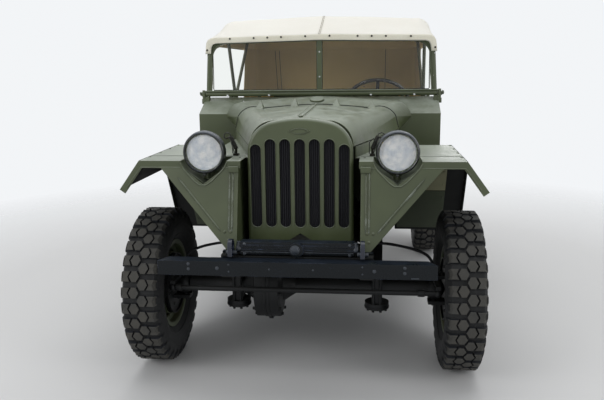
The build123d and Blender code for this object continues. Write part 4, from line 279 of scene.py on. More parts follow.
def radiator_core(name):
    """Dark tubes with fine fins across them."""
    s = Shader(name, rgb(20, 21, 25), 0.45, Metallic=0.3)
    tubes = s.wave(36.0, "X")
    s.link(s.mix(s.ramp(tubes, 0.3, 0.8), rgb(9, 9, 12), rgb(44, 44, 52)), "Base Color")
    s.link(s.bump(s.wave(160.0, "Z"), 0.001, s.bump(tubes, 0.004)), "Normal")
    return s.material


def casting(name, colour):
    s = Shader(name, rgb(*colour), 0.62, Metallic=0.4)
    grit = s.noise(140.0, 4.0, 0.7)
    rust = s.ramp(s.noise(8.0, 5.0, 0.65), 0.5, 0.75, 0.0, 0.55)
    s.link(s.mix(rust, rgb(*colour), rgb(74, 48, 30)), "Base Color")
    s.link(s.bump(grit, 0.0012), "Normal")
    return s.material


# Each look: what makes it, then its colours and values, then its settings
LOOKS = {
    "olive": (paint, OLIVE, OLIVE_DUST_AND_SHEEN, (150, 150, 122), 0.36, {"dusty": 0.58}),
    # Fender ribs: olive with broad pale edges, a painted highlight along the pressed ribs
    "rubbed": (paint, OLIVE, OLIVE_DUST_AND_SHEEN, (196, 204, 200), 0.22,
               {"edge": 0.009, "dusty": 0.58, "wear_and_highlight_share": 0.85}),
    "olive_inner": (paint, (66, 72, 50), (112, 106, 84), (110, 108, 88), 0.55, {}),
    # Mud plates: the darker lower one is painted shade, the paler upper one painted light falling on the
    # slope
    "mud_plate": (paint, (52, 60, 42), (68, 70, 52), (100, 100, 80), 0.5, {}),
    "mud_plate_dusty": (paint, (114, 114, 88), (126, 122, 98), (140, 138, 114), 0.6, {}),
    "wheel": (paint, (70, 78, 54), (120, 114, 92), (126, 122, 98), 0.45, {}),
    # Black paint: the bluish colour on upward faces is painted sheen, and the pale blue at edges and
    # scratches is painted highlight
    "black": (paint, (13, 18, 22), (44, 52, 66), (96, 110, 140), 0.24,
              {"dusty": 0.40, "wear_and_highlight_share": 0.7, "scratches": 0.2, "shine": 0.22}),
    # Black: sealing compound on the fenders' undersides; on the sheets under the engine and on the fender
    # slopes beside the mud plates it is painted shade
    "underseal": (paint, (16, 18, 17), (40, 40, 36), (40, 42, 38), 0.62,
                  {"dusty": 0.3, "wear_and_highlight_share": 0.2, "shine": 0.25}),
    # Tow hooks: the bluish colour on upward faces is painted sheen, and the pale blue edges are painted
    # highlight
    "hook": (paint, (26, 32, 48), (52, 60, 78), (150, 160, 178), 0.14, {"dusty": 0.1, "wear_and_highlight_share": 0.7}),
    "chassis": (paint, (15, 17, 18), (46, 44, 40), (70, 66, 58), 0.50,
                {"dusty": 0.35, "wear_and_highlight_share": 0.3, "shine": 0.3}),
    # Lamp rims: the bluish colour on upward faces is painted sky reflection, and the pale edges are painted
    # highlight
    "rim": (paint, (22, 26, 24), (70, 84, 104), (120, 128, 128), 0.20, {"dusty": 0.55, "wear_and_highlight_share": 0.4}),
    "dark_metal": (paint, (24, 25, 24), (60, 62, 60), (96, 96, 90), 0.34, {"dusty": 0.3}),
    # Paler bluish grey with pale edges: partly bare metal, partly painted highlight on the crossmember's
    # beads, the bolts and the hook pins
    "worn_metal": (paint, (44, 50, 58), (84, 90, 96), (150, 156, 162), 0.34,
                   {"dusty": 0.3, "wear_and_highlight_share": 0.8}),
    "plastic": (paint, (14, 14, 15), (40, 40, 40), (60, 60, 60), 0.22, {"dusty": 0.15, "wear_and_highlight_share": 0.2}),
    "red": (paint, (110, 14, 12), (120, 50, 44), (130, 60, 50), 0.18, {"dusty": 0.2}),
    "dial": (paint, (16, 16, 16), (30, 30, 30), (60, 60, 60), 0.30, {"dusty": 0.1}),
    "white": (paint, (210, 208, 196), (170, 166, 150), (150, 140, 120), 0.5, {}),
    "tyre": (rubber, (26, 27, 28), (62, 62, 62), 0.30, {}),
    "tread": (rubber, (54, 54, 52), (96, 93, 86), 0.45, {}),
    # Sides of the lugs: darker than the tread, painted shade between the lugs, with bluish patches that are
    # painted sky reflection
    "groove": (rubber, (20, 22, 25), (44, 47, 55), 0.35, {}),
    "hose": (rubber, (18, 19, 22), (50, 50, 50), 0.2, {"grain": 400.0}),
    "seal": (rubber, (24, 27, 26), (60, 62, 56), 0.3, {"grain": 300.0}),
    "cream": (canvas, (248, 246, 238), (224, 218, 200), {"stains": 0.18}),
    "tan": (canvas, (250, 247, 232), (214, 204, 174), {}),
    # Inner face of the canopy: warm tan although the cloth is cream through, painted glow of light through
    # the cloth and painted shade inside
    "inside": (canvas, (228, 200, 136), (176, 146, 88), {}),
    "thread": (canvas, (120, 104, 70), (80, 70, 48), {"weave": 900.0}),
    "seat": (leather_cloth, (74, 66, 44), (52, 46, 32), {}),
    "seat_edge": (leather_cloth, (54, 48, 34), (40, 36, 26), {}),
    "zinc": (bare_metal, (196, 198, 200), 0.28, {}),
    "mirror": (bare_metal, (238, 238, 240), 0.04, {"stain": 0.06}),
    "spring": (bare_metal, (60, 58, 52), 0.42, {"stain": 0.7}),
    "brass": (bare_metal, (170, 140, 84), 0.35, {"stain": 0.5}),
    "glass": (glass, (0.97, 0.985, 0.95, 1.0), {}),
    "lens": (glass, (0.96, 0.97, 0.98, 1.0), {"roughness": 0.03, "bump_scale": 60.0}),
    "flutes": (pressed_glass, {}),
    "core": (radiator_core, {}),
    "casting": (casting, (74, 76, 72), {}),
}
MATERIALS = {name: maker(name, *values, **settings) for name, (maker, *values, settings) in LOOKS.items()}

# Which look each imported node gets
FINISHES = {
    "olive": ("grille_shell", "hood_left", "hood_right", "hood_hinge", "fender_left", "fender_right",
              "headlamps", "scuttle", "filler_cap", "body_side_left", "body_side_right", "rear_panel",
              "windscreen_frame", "spare_carrier"),
    "olive_inner": ("dashboard", "fuel_tanks", "floor", "canopy_bows", "seat_frames"),
    "wheel": ("spare_wheel", *(f"wheel_{corner}" for corner in CORNERS)),
    "black": ("bumper", "front_crossmember", "rear_tow_hitch"),
    "hook": ("tow_hooks",),
    "chassis": ("frame", "front_axle", "rear_axle", "knuckle_left", "knuckle_right", "tie_rod",
                "front_springs", "rear_springs", "driveshafts", "exhaust", "steering_column"),
    "tyre": ("spare_tyre", *(f"tyre_{corner}" for corner in CORNERS)),
    "cream": ("canopy", "rear_curtain"),
    "seat": ("seat_cushions",),
    # The sheets under the engine are black as painted shade under the car
    "underseal": ("splash_shields",),
    "glass": ("windscreen_glass",),
    "lens": ("headlamp_lenses",),
    "core": ("radiator",),
    "casting": ("engine", "gearbox"),
    "plastic": ("steering_wheel",),
    "hose": ("brake_hoses",),
    "spring": ("hood_latches",),
    "red": ("tail_lamp",),
}


def finish_nodes():
    for look, nodes in FINISHES.items():
        for name in nodes:
            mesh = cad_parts[name].data
            mesh.materials.clear()
            mesh.materials.append(MATERIALS[look])


# Building blocks
def add_object(name, data):
    made = bpy.data.objects.new(name, data)
    bpy.context.scene.collection.objects.link(made)
    return made


def add_piece(name, data, body):
    """An object that rides on a body."""
    made = add_object(name, data)
    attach(made, body)
    return made


class Form:
    """One mesh, put together from bars, rings, bolts and skins."""

    def __init__(self):
        self.mesh = bmesh.new()

    def ring_strip(self, rings, closed_ring=True, closed_row=False, caps=False, look=0):
        """Join rows of points into a skin; all rows have the same number of points."""
        rows = [[self.mesh.verts.new(point) for point in points] for points in rings]
        count = len(rows[0])
        pairs = list(zip(rows, rows[1:])) + ([(rows[-1], rows[0])] if closed_row else [])
        faces = []
        for first, second in pairs:
            for number in range(count if closed_ring else count - 1):
                after = (number + 1) % count
                faces.append((first[number], first[after], second[after], second[number]))
        if caps:
            faces += [rows[0][::-1], rows[-1]]
        for face in faces:
            self.mesh.faces.new(face).material_index = look
        return rows

    def tube(self, points, radius, sides=10, closed=False, look=0):
        """A round bar along points; radius is one number or one for each point."""
        points = [Vector(point) for point in points]
        radii = radius if hasattr(radius, "__len__") else [radius] * len(points)
        count = len(points)
        side = None
        rings = []
        for number, point in enumerate(points):
            before = points[number - 1] if number or closed else point
            after = points[(number + 1) % count] if number < count - 1 or closed else point
            way = (after - before).normalized()
            if side is None:
                side = way.orthogonal().normalized()
            side = (side - way * side.dot(way)).normalized()
            rings.append(ring(point, side, way.cross(side), radii[number], sides))
        self.ring_strip(rings, closed_row=closed, caps=not closed, look=look)

    def lathe(self, profile, centre, axis, steps=48, closed=False, look=0, caps=True):
        """A knob, or a closed ring, turned about an axis; profile points are (radius, distance along)."""
        axis, centre = Vector(axis).normalized(), Vector(centre)
        side = axis.orthogonal().normalized()
        rings = [ring(centre + axis * along, side, axis.cross(side), max(radius, 1e-5), steps)
                 for radius, along in profile]
        self.ring_strip(rings, closed_row=closed, caps=caps and not closed, look=look)

    def bolt(self, place, axis, size=0.008, height=0.006, sides=6, look=0):
        """A hexagon or round head on a washer."""
        self.lathe([(1.35 * size, 0.0), (1.35 * size, 0.22 * height), (1.2 * size, 0.3 * height)],
                   place, axis, 16, look=look)
        self.lathe([(size, 0.2 * height), (size, 0.85 * height), (0.85 * size, height)],
                   place, axis, sides, look=look)

    def bolts(self, places, *values, **settings):
        for place in places:
            self.bolt(place, *values, **settings)

    def block(self, low, high, turn=None, look=0, soft=0.0):
        """A box, with its edges eased by soft."""
        made = bmesh.ops.create_cube(self.mesh, size=1.0)["verts"]
        low, high = Vector(low), Vector(high)
        size, middle = high - low, (high + low) / 2
        for vertex in made:
            spot = Vector([vertex.co[k] * size[k] for k in range(3)])
            vertex.co = (turn @ spot if turn else spot) + middle
        for face in {face for vertex in made for face in vertex.link_faces}:
            face.material_index = look
        if soft:
            edges = list({edge for vertex in made for edge in vertex.link_edges})
            bmesh.ops.bevel(self.mesh, geom=edges, offset=soft, segments=2, affect="EDGES", profile=0.5)

    def piece(self, name, looks, slot, body="body", smooth=38.0):
        """Turn the form into a piece that rides on a body."""
        bmesh.ops.recalc_face_normals(self.mesh, faces=self.mesh.faces)
        mesh = bpy.data.meshes.new(name)
        self.mesh.to_mesh(mesh)
        self.mesh.free()
        for look in ([looks] if isinstance(looks, str) else looks):
            mesh.materials.append(MATERIALS[look])
        mesh.polygons.foreach_set("use_smooth", [True] * len(mesh.polygons))
        mesh.set_sharp_from_angle(angle=radians(smooth))
        return add_piece(name, mesh, body)


def ring(centre, side, up, radius, steps):
    """Points round a centre, in the plane of side and up."""
    turns = (2 * pi * step / steps for step in range(steps))
    return [centre + (side * cos(turn) + up * sin(turn)) * radius for turn in turns]


def arc(centre, radius, start, stop, steps, plane="xz"):
    """Points on an arc in degrees, in the plane of two axes."""
    points = []
    for number in range(steps + 1):
        turn = radians(start + (stop - start) * number / steps)
        point = Vector(centre)
        point["xyz".index(plane[0])] += radius * cos(turn)
        point["xyz".index(plane[1])] += radius * sin(turn)
        points.append(point)
    return points


def around(middle, count, radius, plane="yz", start=0.0):
    """Evenly spread places on a circle about a middle; start is in radians."""
    places = []
    for number in range(count):
        turn = start + 2 * pi * number / count
        place = Vector(middle)
        place["xyz".index(plane[0])] += radius * sin(turn)
        place["xyz".index(plane[1])] += radius * cos(turn)
        places.append(place)
    return places


def from_here(origin, points):
    return [Vector(origin) + Vector(point) for point in points]


def flipped(side, points):
    """The points on the left, or their mirror image on the right."""
    return [(side * x, y, z) for x, y, z in points]


# Tyres
TYRE_RADIUS = 0.377
TREAD_RADIUS = TYRE_RADIUS - 0.0006
SHOULDER_X = 0.073
SHOULDER_FALL = 1.62
LUG_DEPTH = 0.015
LUG_COUNT = 32
LUG_HALF_LENGTH = 0.0250
LUG_EASE = 0.0018
TYRE_STEPS = 96
CARCASS = ((0.0515, 0.2035), (0.0560, 0.2180), (0.0700, 0.2330), (0.0840, 0.2560), (0.0890, 0.2860),
           (0.0888, 0.3130), (0.0850, 0.3350), (0.0780, 0.3500), (0.0690, 0.3600), (0.0400, 0.3622),
           (0.0, 0.3626))
WALL_RIBS = ((0.300, 0.0885), (0.246, 0.0795))
# Edges of one lug seen from outside: sideways place and share of its half length
CENTRE_LUG = ((-0.0040, 0.0), (0.0085, 1.0), (0.0300, 1.0), (0.0425, 0.0), (0.0300, -1.0), (0.0085, -1.0))
SHOULDER_LUG = ((0.0500, 0.0), (0.0390, 0.94), (0.0730, 0.94), (0.0830, 0.88), (0.0830, -0.88),
                (0.0730, -0.94), (0.0390, -0.94))
CENTRE_LUG_X = 0.0193
SHOULDER_LUG_X = 0.0640
# Bars below the shoulder lugs: sideways place, radius and how far their middle stands out
BUTTRESS = ((0.0800, 0.3640, 0.0004), (0.0862, 0.3500, 0.0004), (0.0882, 0.3360, 0.0004),
            (0.0878, 0.3260, 0.0004), (0.0850, 0.3240, 0.0))


def lug_top(x):
    """Outer radius of the tread at a sideways place."""
    return TREAD_RADIUS - SHOULDER_FALL * max(0.0, abs(x) - SHOULDER_X)


def tyre_form():
    """Tyre about the X axis, with its middle at the origin."""
    form = Form()
    half = [(radius, x) for x, radius in CARCASS]
    profile = half + [(radius, -x) for radius, x in half[-2::-1]]
    form.lathe(profile, (0, 0, 0), ACROSS, TYRE_STEPS, closed=True, look=2)
    for radius, x in WALL_RIBS:
        for side in BOTH_SIDES:
            rib = [(radius + wide, side * (x + proud))
                   for wide, proud in ((-0.004, -0.003), (-0.002, 0.0012), (0.002, 0.0012), (0.004, -0.003))]
            form.lathe(rib, (0, 0, 0), ACROSS, TYRE_STEPS, closed=True, look=2)
    step = 2 * pi / LUG_COUNT
    for number in range(LUG_COUNT):
        for side in BOTH_SIDES:
            turn = step * (number + (0.5 if side > 0 else 0.0))
            lug(form, CENTRE_LUG, side, turn, CENTRE_LUG_X)
            lug(form, SHOULDER_LUG, side, turn, SHOULDER_LUG_X)
            buttress(form, side, turn)
    return form


def on_tread(x, radius, turn):
    return Vector((x, -radius * sin(turn), radius * cos(turn)))


def lug(form, outline, side, turn, middle_x):
    """A block of the tread with eased top edges; its sides are darker than its top, as painted shade."""
    rings = []
    for drop, grow in ((LUG_DEPTH + 0.002, 1.05), (LUG_EASE, 1.0), (0.0, 0.90)):
        edge = []
        for x, share in outline:
            along = LUG_HALF_LENGTH * share * grow
            place = middle_x + (x - middle_x) * (grow if share else 1.0)
            edge.append(on_tread(side * place, lug_top(x) - drop, turn + along / TYRE_RADIUS))
        rings.append(edge)
    form.ring_strip(rings[:2], look=1)
    top = form.ring_strip(rings[1:], look=0)[-1]
    count = len(outline)
    hub = form.mesh.verts.new(sum((vertex.co for vertex in top), Vector()) / count)
    for number in range(count):
        form.mesh.faces.new((top[number], top[(number + 1) % count], hub)).material_index = 0


def buttress(form, side, turn):
    """A short bar on the side wall below a shoulder block."""
    half = 0.6 * LUG_HALF_LENGTH / TYRE_RADIUS
    rows = []
    for x, radius, proud in BUTTRESS:
        rows.append([on_tread(side * (x + lift), radius, turn + share * half)
                     for share, lift in ((-1, 0.0), (-0.7, proud), (0.7, proud), (1, 0.0))])
    form.ring_strip(rows, closed_ring=False, look=2)


def tyres():
    for name in [f"tyre_{corner}" for corner in CORNERS] + ["spare_tyre"]:
        low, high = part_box(name)
        spare = name == "spare_tyre"
        turn = Matrix.Rotation(radians(90 if spare else 0), 4, "Z") @ Matrix.Rotation(0.7 * len(name), 4, "X")
        form = tyre_form()
        form.mesh.transform(Matrix.Translation((low + high) / 2) @ turn)
        body = "body" if spare else name.replace("tyre", "wheel")
        made = form.piece("tread_" + name, ("tread", "groove", "tyre"), "tyre_rubber", body, smooth=32.0)
        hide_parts(name)


# Canopy
CANOPY_THICKNESS = 0.003
HEM_HEIGHT = 0.031
HEM_STEPS = 4
FRONT_BOW_Y = FRONT_AXLE_Y + 1.225
REAR_BOW_Y = FRONT_AXLE_Y + 2.066
CANOPY_FRONT_Y = FRONT_AXLE_Y + 0.828
CANOPY_REAR_Y = FRONT_AXLE_Y + 2.390
# Roof sections: place, half width of the low edge, its height, half width of the shoulder,
# its height and crown height
ROOF_SECTIONS = (
    (CANOPY_FRONT_Y, 0.673, 1.509, 0.664, 1.600, 1.612),
    (FRONT_BOW_Y, 0.682, 1.560, 0.646, 1.718, 1.742),
    (REAR_BOW_Y, 0.682, 1.560, 0.646, 1.718, 1.742),
    (CANOPY_REAR_Y, 0.672, 1.540, 0.626, 1.680, 1.702),
)
ROOF_CORNER = 0.090
ROOF_STEPS = 72
ROOF_SAG = 0.010
TAIL_FOOT_Z = 1.560
CURTAIN_FOOT_Z = 1.087
CURTAIN_TOP_Z = 1.573
CURTAIN_OPEN_Y = FRONT_AXLE_Y + 1.950
CURTAIN_BACK_Y = FRONT_AXLE_Y + 2.250
CURTAIN_CORNER = 0.045
CURTAIN_STEPS = 22
CURTAIN_POINTS = 96
CURTAIN_FOLD = 0.004
SNAP_X = (-0.529, -0.3845, -0.307, -0.2305, -0.080, 0.0694, 0.2228, 0.301, 0.3796, 0.5325)
CORNER_SNAP_Z = 1.528
SNAP = ((0.0055, 0.0), (0.0058, 0.002), (0.0035, 0.0042), (0.001, 0.0045))
SEAM_RADIUS = 0.0009
CURTAIN_SEAMS = (-0.486, -0.452, 0.411)


def rounded_line(points, radius, steps):
    """Points along a line with one radius at each corner, evenly spread."""
    path = [Vector(points[0])]
    for before, here, after in zip(points, points[1:], points[2:]):
        before, here, after = Vector(before), Vector(here), Vector(after)
        back, ahead = (before - here).normalized(), (after - here).normalized()
        half = back.angle(ahead) / 2
        reach = min(radius / tan(half), 0.45 * (before - here).length, 0.45 * (after - here).length)
        start, stop = here + back * reach, here + ahead * reach
        for number in range(9):
            share = number / 8
            path.append((1 - share) ** 2 * start + 2 * share * (1 - share) * here + share ** 2 * stop)
    path.append(Vector(points[-1]))
    return resampled(path, steps)


def resampled(path, steps):
    """The same line with evenly spaced points."""
    lengths = [0.0]
    for first, second in zip(path, path[1:]):
        lengths.append(lengths[-1] + (second - first).length)
    points, span = [], 0
    for number in range(steps + 1):
        goal = lengths[-1] * number / steps
        while span < len(path) - 2 and lengths[span + 1] < goal:
            span += 1
        share = (goal - lengths[span]) / max(lengths[span + 1] - lengths[span], 1e-9)
        points.append(path[span].lerp(path[span + 1], min(max(share, 0.0), 1.0)))
    return points


def roof_arch(section, inset=0.0):
    """Points of one roof section, from its right foot over the top to its left foot."""
    place, half_low, low_z, half_top, top_z, crown_z = section
    foot, shoulder = half_low - inset, half_top - inset
    points = [(-foot, place, low_z), (-shoulder, place, top_z - inset), (0, place, crown_z - inset),
              (shoulder, place, top_z - inset), (foot, place, low_z)]
    return rounded_line(points, ROOF_CORNER, ROOF_STEPS)


def blend_rows(first, second, share):
    return [a.lerp(b, share) for a, b in zip(first, second)]


def roof_rows():
    """Rows of the roof sheet: it sags between its bows and pulls into small folds."""
    rows = []
    for before, after in zip(ROOF_SECTIONS, ROOF_SECTIONS[1:]):
        first, second = roof_arch(before), roof_arch(after)
        span = after[0] - before[0]
        steps = max(6, round(span / 0.035))
        for share in (number / steps for number in range(steps)):
            sag = ROOF_SAG * sin(pi * share) * (1.0 if span > 0.5 else 0.5)
            rows.append([settle(point, index, sag)
                         for index, point in enumerate(blend_rows(first, second, share))])
    rows.append([settle(point, index, 0.0) for index, point in enumerate(roof_arch(ROOF_SECTIONS[-1]))])
    return rows


def settle(point, index, sag):
    """Lower a point of the roof by the sag and a few slanting folds."""
    across = index / ROOF_STEPS
    middle = sin(pi * across) ** 0.5 if 0 < across < 1 else 0.0
    corner = max(0.0, 1 - abs(abs(across - 0.5) - 0.36) / 0.10)
    fold = 0.0035 * corner * sin(point.y * 23 + across * 60)
    ripple = 0.0012 * sin(point.x * 17 + point.y * 9) * middle
    inward = Vector((-point.x * 0.25, 0, -1)).normalized()
    return point + inward * (0.002 + sag * middle + abs(fold) + ripple)


def sheet_piece(name, rows, look, inner, thickness=CANOPY_THICKNESS):
    """A cloth sheet of real thickness, with another look inside."""
    form = Form()
    form.ring_strip(rows, closed_ring=False)
    area = sum(face.calc_area() for face in form.mesh.faces)
    made = form.piece(name, (look, inner), "canvas", smooth=60.0)
    solid = made.modifiers.new("thickness", "SOLIDIFY")
    solid.thickness = thickness
    solid.offset = -1.0
    solid.material_offset = 1
    return made


def hem_rows():
    outer, inner = roof_arch(ROOF_SECTIONS[0], 0.001), roof_arch(ROOF_SECTIONS[0], HEM_HEIGHT)
    rows = []
    for share in (number / HEM_STEPS for number in range(HEM_STEPS + 1)):
        rows.append([point + Vector((0, -0.0015 - 0.0015 * sin(point.x * 34) * share, 0))
                     for point in blend_rows(outer, inner, share)])
    return rows


def curtain_rows():
    """A curtain round the tail, from the roof's rear edge down to the body."""
    foot_half, open_half, back_half = 0.6745, 0.6635, 0.6455
    foot_y = BODY_REAR_Y - 0.040
    rows = []
    for share in (number / CURTAIN_STEPS for number in range(CURTAIN_STEPS + 1)):
        z = CURTAIN_FOOT_Z + (CURTAIN_TOP_Z - CURTAIN_FOOT_Z) * share
        half_open = foot_half + (open_half - foot_half) * share
        half_back = foot_half + (back_half - foot_half) * share
        back_y = foot_y + (CANOPY_REAR_Y + 0.0045 - foot_y) * share
        open_y = CURTAIN_OPEN_Y + 0.060 * max(0.0, (share - 0.37) / 0.63)
        row = rounded_line([(-half_open, open_y, z), (-half_back, back_y, z), (half_back, back_y, z),
                            (half_open, open_y, z)], CURTAIN_CORNER, CURTAIN_POINTS)
        rows.append([point + curtain_fold(point, share) for point in row])
    return rows


def curtain_fold(point, share):
    """Shallow upright folds that fade out at the top and the foot."""
    depth = CURTAIN_FOLD * sin(pi * share)
    if point.y > CURTAIN_BACK_Y:
        return Vector((0, -depth * (0.5 + 0.5 * sin(point.x * 26)), 0))
    return Vector((-depth * (0.5 + 0.5 * sin(point.y * 24)) * (1 if point.x > 0 else -1), 0, 0))


def canopy():
    roof = sheet_piece("canopy_roof", roof_rows(), "cream", "inside")
    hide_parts("canopy")
    curtain = sheet_piece("canopy_curtain", curtain_rows(), "cream", "inside")
    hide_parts("rear_curtain")
    top = [point + Vector((0, -0.002, -0.002)) for point in roof_arch(ROOF_SECTIONS[-1])]
    foot = [Vector((point.x, point.y, min(point.z, TAIL_FOOT_Z - 0.002))) for point in top]
    rows = [blend_rows(top, foot, step / 4) for step in range(5)]
    sheet_piece("canopy_tail", rows, "cream", "inside")
    sheet_piece("canopy_hem", hem_rows(), "tan", "tan", thickness=0.002)
    canopy_trim()


def canopy_trim():
    """Piping and snaps of the hem, and the seams of the roof and the curtain."""
    piping_line, snaps, seams = Form(), Form(), Form()
    edge = roof_arch(ROOF_SECTIONS[0], HEM_HEIGHT)
    piping_line.tube([point + Vector((0, -0.0035, 0)) for point in edge], 0.0026, 8)
    piping_line.piece("hem_piping", "white", "canvas")
    top = roof_arch(ROOF_SECTIONS[0], 0.010)
    spots = [min(top, key=lambda point: abs(point.x - x)) for x in SNAP_X]
    spots += [min(top, key=lambda point: abs(point.z - CORNER_SNAP_Z) + (point.x * side < 0))
              for side in BOTH_SIDES]
    for spot in spots:
        snaps.lathe(SNAP, (spot.x, CANOPY_FRONT_Y - 0.004, spot.z), FORWARD, 14)
    snaps.piece("canopy_snaps", "spring", "canvas")
    rows = roof_rows()
    for shift in (-0.004, 0.004):
        seams.tube([row[ROOF_STEPS // 2] + Vector((shift, 0, 0.0012)) for row in rows], SEAM_RADIUS, 6)
    for row, inset in ((rows[0], 0.012), (rows[-1], -0.012)):
        seams.tube([point + Vector((0, inset, 0.001)) for point in row], SEAM_RADIUS, 6)
    curtain = curtain_rows()
    for x in CURTAIN_SEAMS:
        line = []
        for row in curtain:
            for a, b in zip(row, row[1:]):
                if a.x <= x < b.x and a.y > CURTAIN_BACK_Y:
                    line.append(a.lerp(b, (x - a.x) / (b.x - a.x)) + Vector((0, -0.0042, 0)))
        seams.tube(line, 0.0026, 6)
    seams.piece("canopy_seams", "thread", "canvas")


# Headlamps
LAMP_X = 0.419
LAMP_Z = 1.066
LAMP_FRONT_Y = FRONT_AXLE_Y - 0.280
LAMP_MOUTH = 0.0765
LAMP_RIM = ((0.0812, 0.0040), (0.0816, -0.0030), (0.0850, -0.0050), (0.0890, -0.0030), (0.0922, 0.0030),
            (0.0930, 0.0120), (0.0930, 0.0230), (0.0945, 0.0250), (0.0945, 0.0290), (0.0915, 0.0310))
FLUTE_ROWS = 36
FLUTE_WIDTH = 0.0045
FLUTE_DEPTH = 0.0016


def headlamps():
    """Rims, reflectors and bulbs; the domed glass has a fluted skin behind it."""
    rims, inside, fluted = Form(), Form(), Form()
    bowl = [(LAMP_MOUTH * sqrt((depth - 0.004) / 0.070), 0.090 - depth)
            for depth in (0.0045, 0.008, 0.014, 0.022, 0.032, 0.044, 0.058, 0.074)]
    for side in BOTH_SIDES:
        centre = Vector((side * LAMP_X, LAMP_FRONT_Y, LAMP_Z))
        rims.lathe(LAMP_RIM, centre, BACK, 72, closed=True)
        rims.block(*from_here(centre, ((-0.006, 0.002, -0.101), (0.006, 0.020, -0.090))), soft=0.002)
        inside.lathe(bowl, centre, BACK, 64, caps=False)
        inside.lathe([(0.0110, 0.084), (0.0110, 0.064), (0.0085, 0.058)], centre, BACK, 20, look=1)
        inside.lathe([(0.0070, 0.060), (0.0100, 0.052), (0.0105, 0.044), (0.0075, 0.036), (0.0010, 0.033)],
                     centre, BACK, 20, look=2)
        flutes(fluted, centre)
    rims.piece("lamp_rims", "rim", "lamp_steel")
    inside.piece("lamp_reflectors", ("mirror", "brass", "white"), "lamp_steel", smooth=60.0)
    fluted.piece("lamp_flutes", "flutes", "clear_glass", smooth=20.0)


def flutes(form, centre):
    """Rows of upright ribs across a lamp's mouth, each as wide as the mouth is there."""
    height = 2 * LAMP_MOUTH / FLUTE_ROWS
    for row in range(FLUTE_ROWS):
        z = height * (row + 0.5) - LAMP_MOUTH
        half = sqrt(LAMP_MOUTH ** 2 - z ** 2)
        bars = max(3, round(half / FLUTE_WIDTH))
        line = []
        for number in range(bars + 1):
            x = -half + 2 * half * number / bars
            dome = 0.0052 + 0.0072 * hypot(x, z) / LAMP_MOUTH
            line.append((x, dome + FLUTE_DEPTH * (number % 2)))
        form.ring_strip([[centre + Vector((x, y, z + shift)) for x, y in line]
                         for shift in (-height / 2, height / 2)], closed_ring=False)


# Radiator shell and hood
SLOT_PITCH = 0.064
SLOT_HALF = 0.0245
SLOT_BOTTOM_Z = 0.735
SLOT_TOP_Z = 1.125
SLOT_OUTER_TOP_Z = 1.102
TUBE_PITCH = 0.0098
BADGE_Z = 1.158
HOOD_NOSE_Y = SHELL_FRONT_Y + 0.066
HOOD_NOSE_Z = 1.2160
HOOD_RISE = 0.0118 / 0.78
CATCH_X = 0.312
CATCH_Y = FRONT_AXLE_Y - 0.100
CATCH_Z = 1.0323
CATCH_TURNS = 9
COIL_RADIUS = 0.0100
CATCH_HOOK = ((0.022, 0, 0.084), (0.026, 0, 0.098), (0.040, 0, 0.104), (0.052, 0, 0.097), (0.055, 0, 0.084),
              (0.048, 0, 0.076))
RIVET = ((0.0030, 0.0), (0.0026, 0.0016), (0.0010, 0.0024))
RIVET_X = 0.0165
RIVET_PITCH = 0.056


def grille():
    """Pressed lips of the slots, the plain badge and the tubes behind the slots."""
    front, lip = SHELL_FRONT_Y, SLOT_HALF + 0.0008
    lips, badge, core = Form(), Form(), Form()
    for number in range(-3, 4):
        x = number * SLOT_PITCH
        top = SLOT_OUTER_TOP_Z if abs(number) == 3 else SLOT_TOP_Z
        lips.tube(arc((x, front - 0.0006, top - SLOT_HALF), lip, 0, 180, 14)
                  + arc((x, front - 0.0006, SLOT_BOTTOM_Z + SLOT_HALF), lip, 180, 360, 14),
                  0.0021, 8, closed=True)
        for step in range(-2, 3):
            core.tube([(x + step * TUBE_PITCH, front + 0.0066, z) for z in (0.712, 1.118)], 0.0024, 6)
    lips.piece("grille_lips", "olive", "olive_paint")
    oval = []
    for turn in (2 * pi * step / 48 for step in range(48)):
        height = 0.0125 * sin(turn) * (1 - 0.28 * cos(turn) ** 2)
        oval.append(Vector((0.036 * cos(turn), front - 0.0042, BADGE_Z + height)))
    badge.tube(oval, 0.0014, 8, closed=True)
    badge.tube([(0.86 * point.x, point.y, BADGE_Z + 0.74 * (point.z - BADGE_Z)) for point in oval],
               0.0008, 6, closed=True)
    badge.bolts([(side * 0.0425, front - 0.0005, BADGE_Z) for side in BOTH_SIDES], FORWARD, 0.0032, 0.003, 12)
    badge.piece("grille_badge_ring", "olive", "olive_paint")
    core.piece("radiator_tubes", "core", "black_paint")


def surface_point(node, start, way):
    """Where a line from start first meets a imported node."""
    tree = BVHTree.FromObject(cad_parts[node], bpy.context.evaluated_depsgraph_get())
    return tree.ray_cast(Vector(start), Vector(way).normalized())[0]


def hood_seam():
    """A dark strip of webbing between the hood's rear edge and the scuttle."""
    place = SCUTTLE_FRONT_Y + 0.0015
    points = []
    for turn in (radians(-84 + 3 * step) for step in range(57)):
        start = Vector((0.62 * sin(turn), place, 1.02 + 0.45 * cos(turn)))
        found = surface_point("scuttle", start, Vector((0.30 * sin(turn), place, 1.02)) - start)
        if found and found.z > 1.03:
            points.append(found + Vector((0.0012 * sin(turn), 0, 0.0012 * cos(turn))))
    form = Form()
    form.tube(points, 0.0030, 8)
    form.piece("hood_seam", "seal", "hose_rubber")


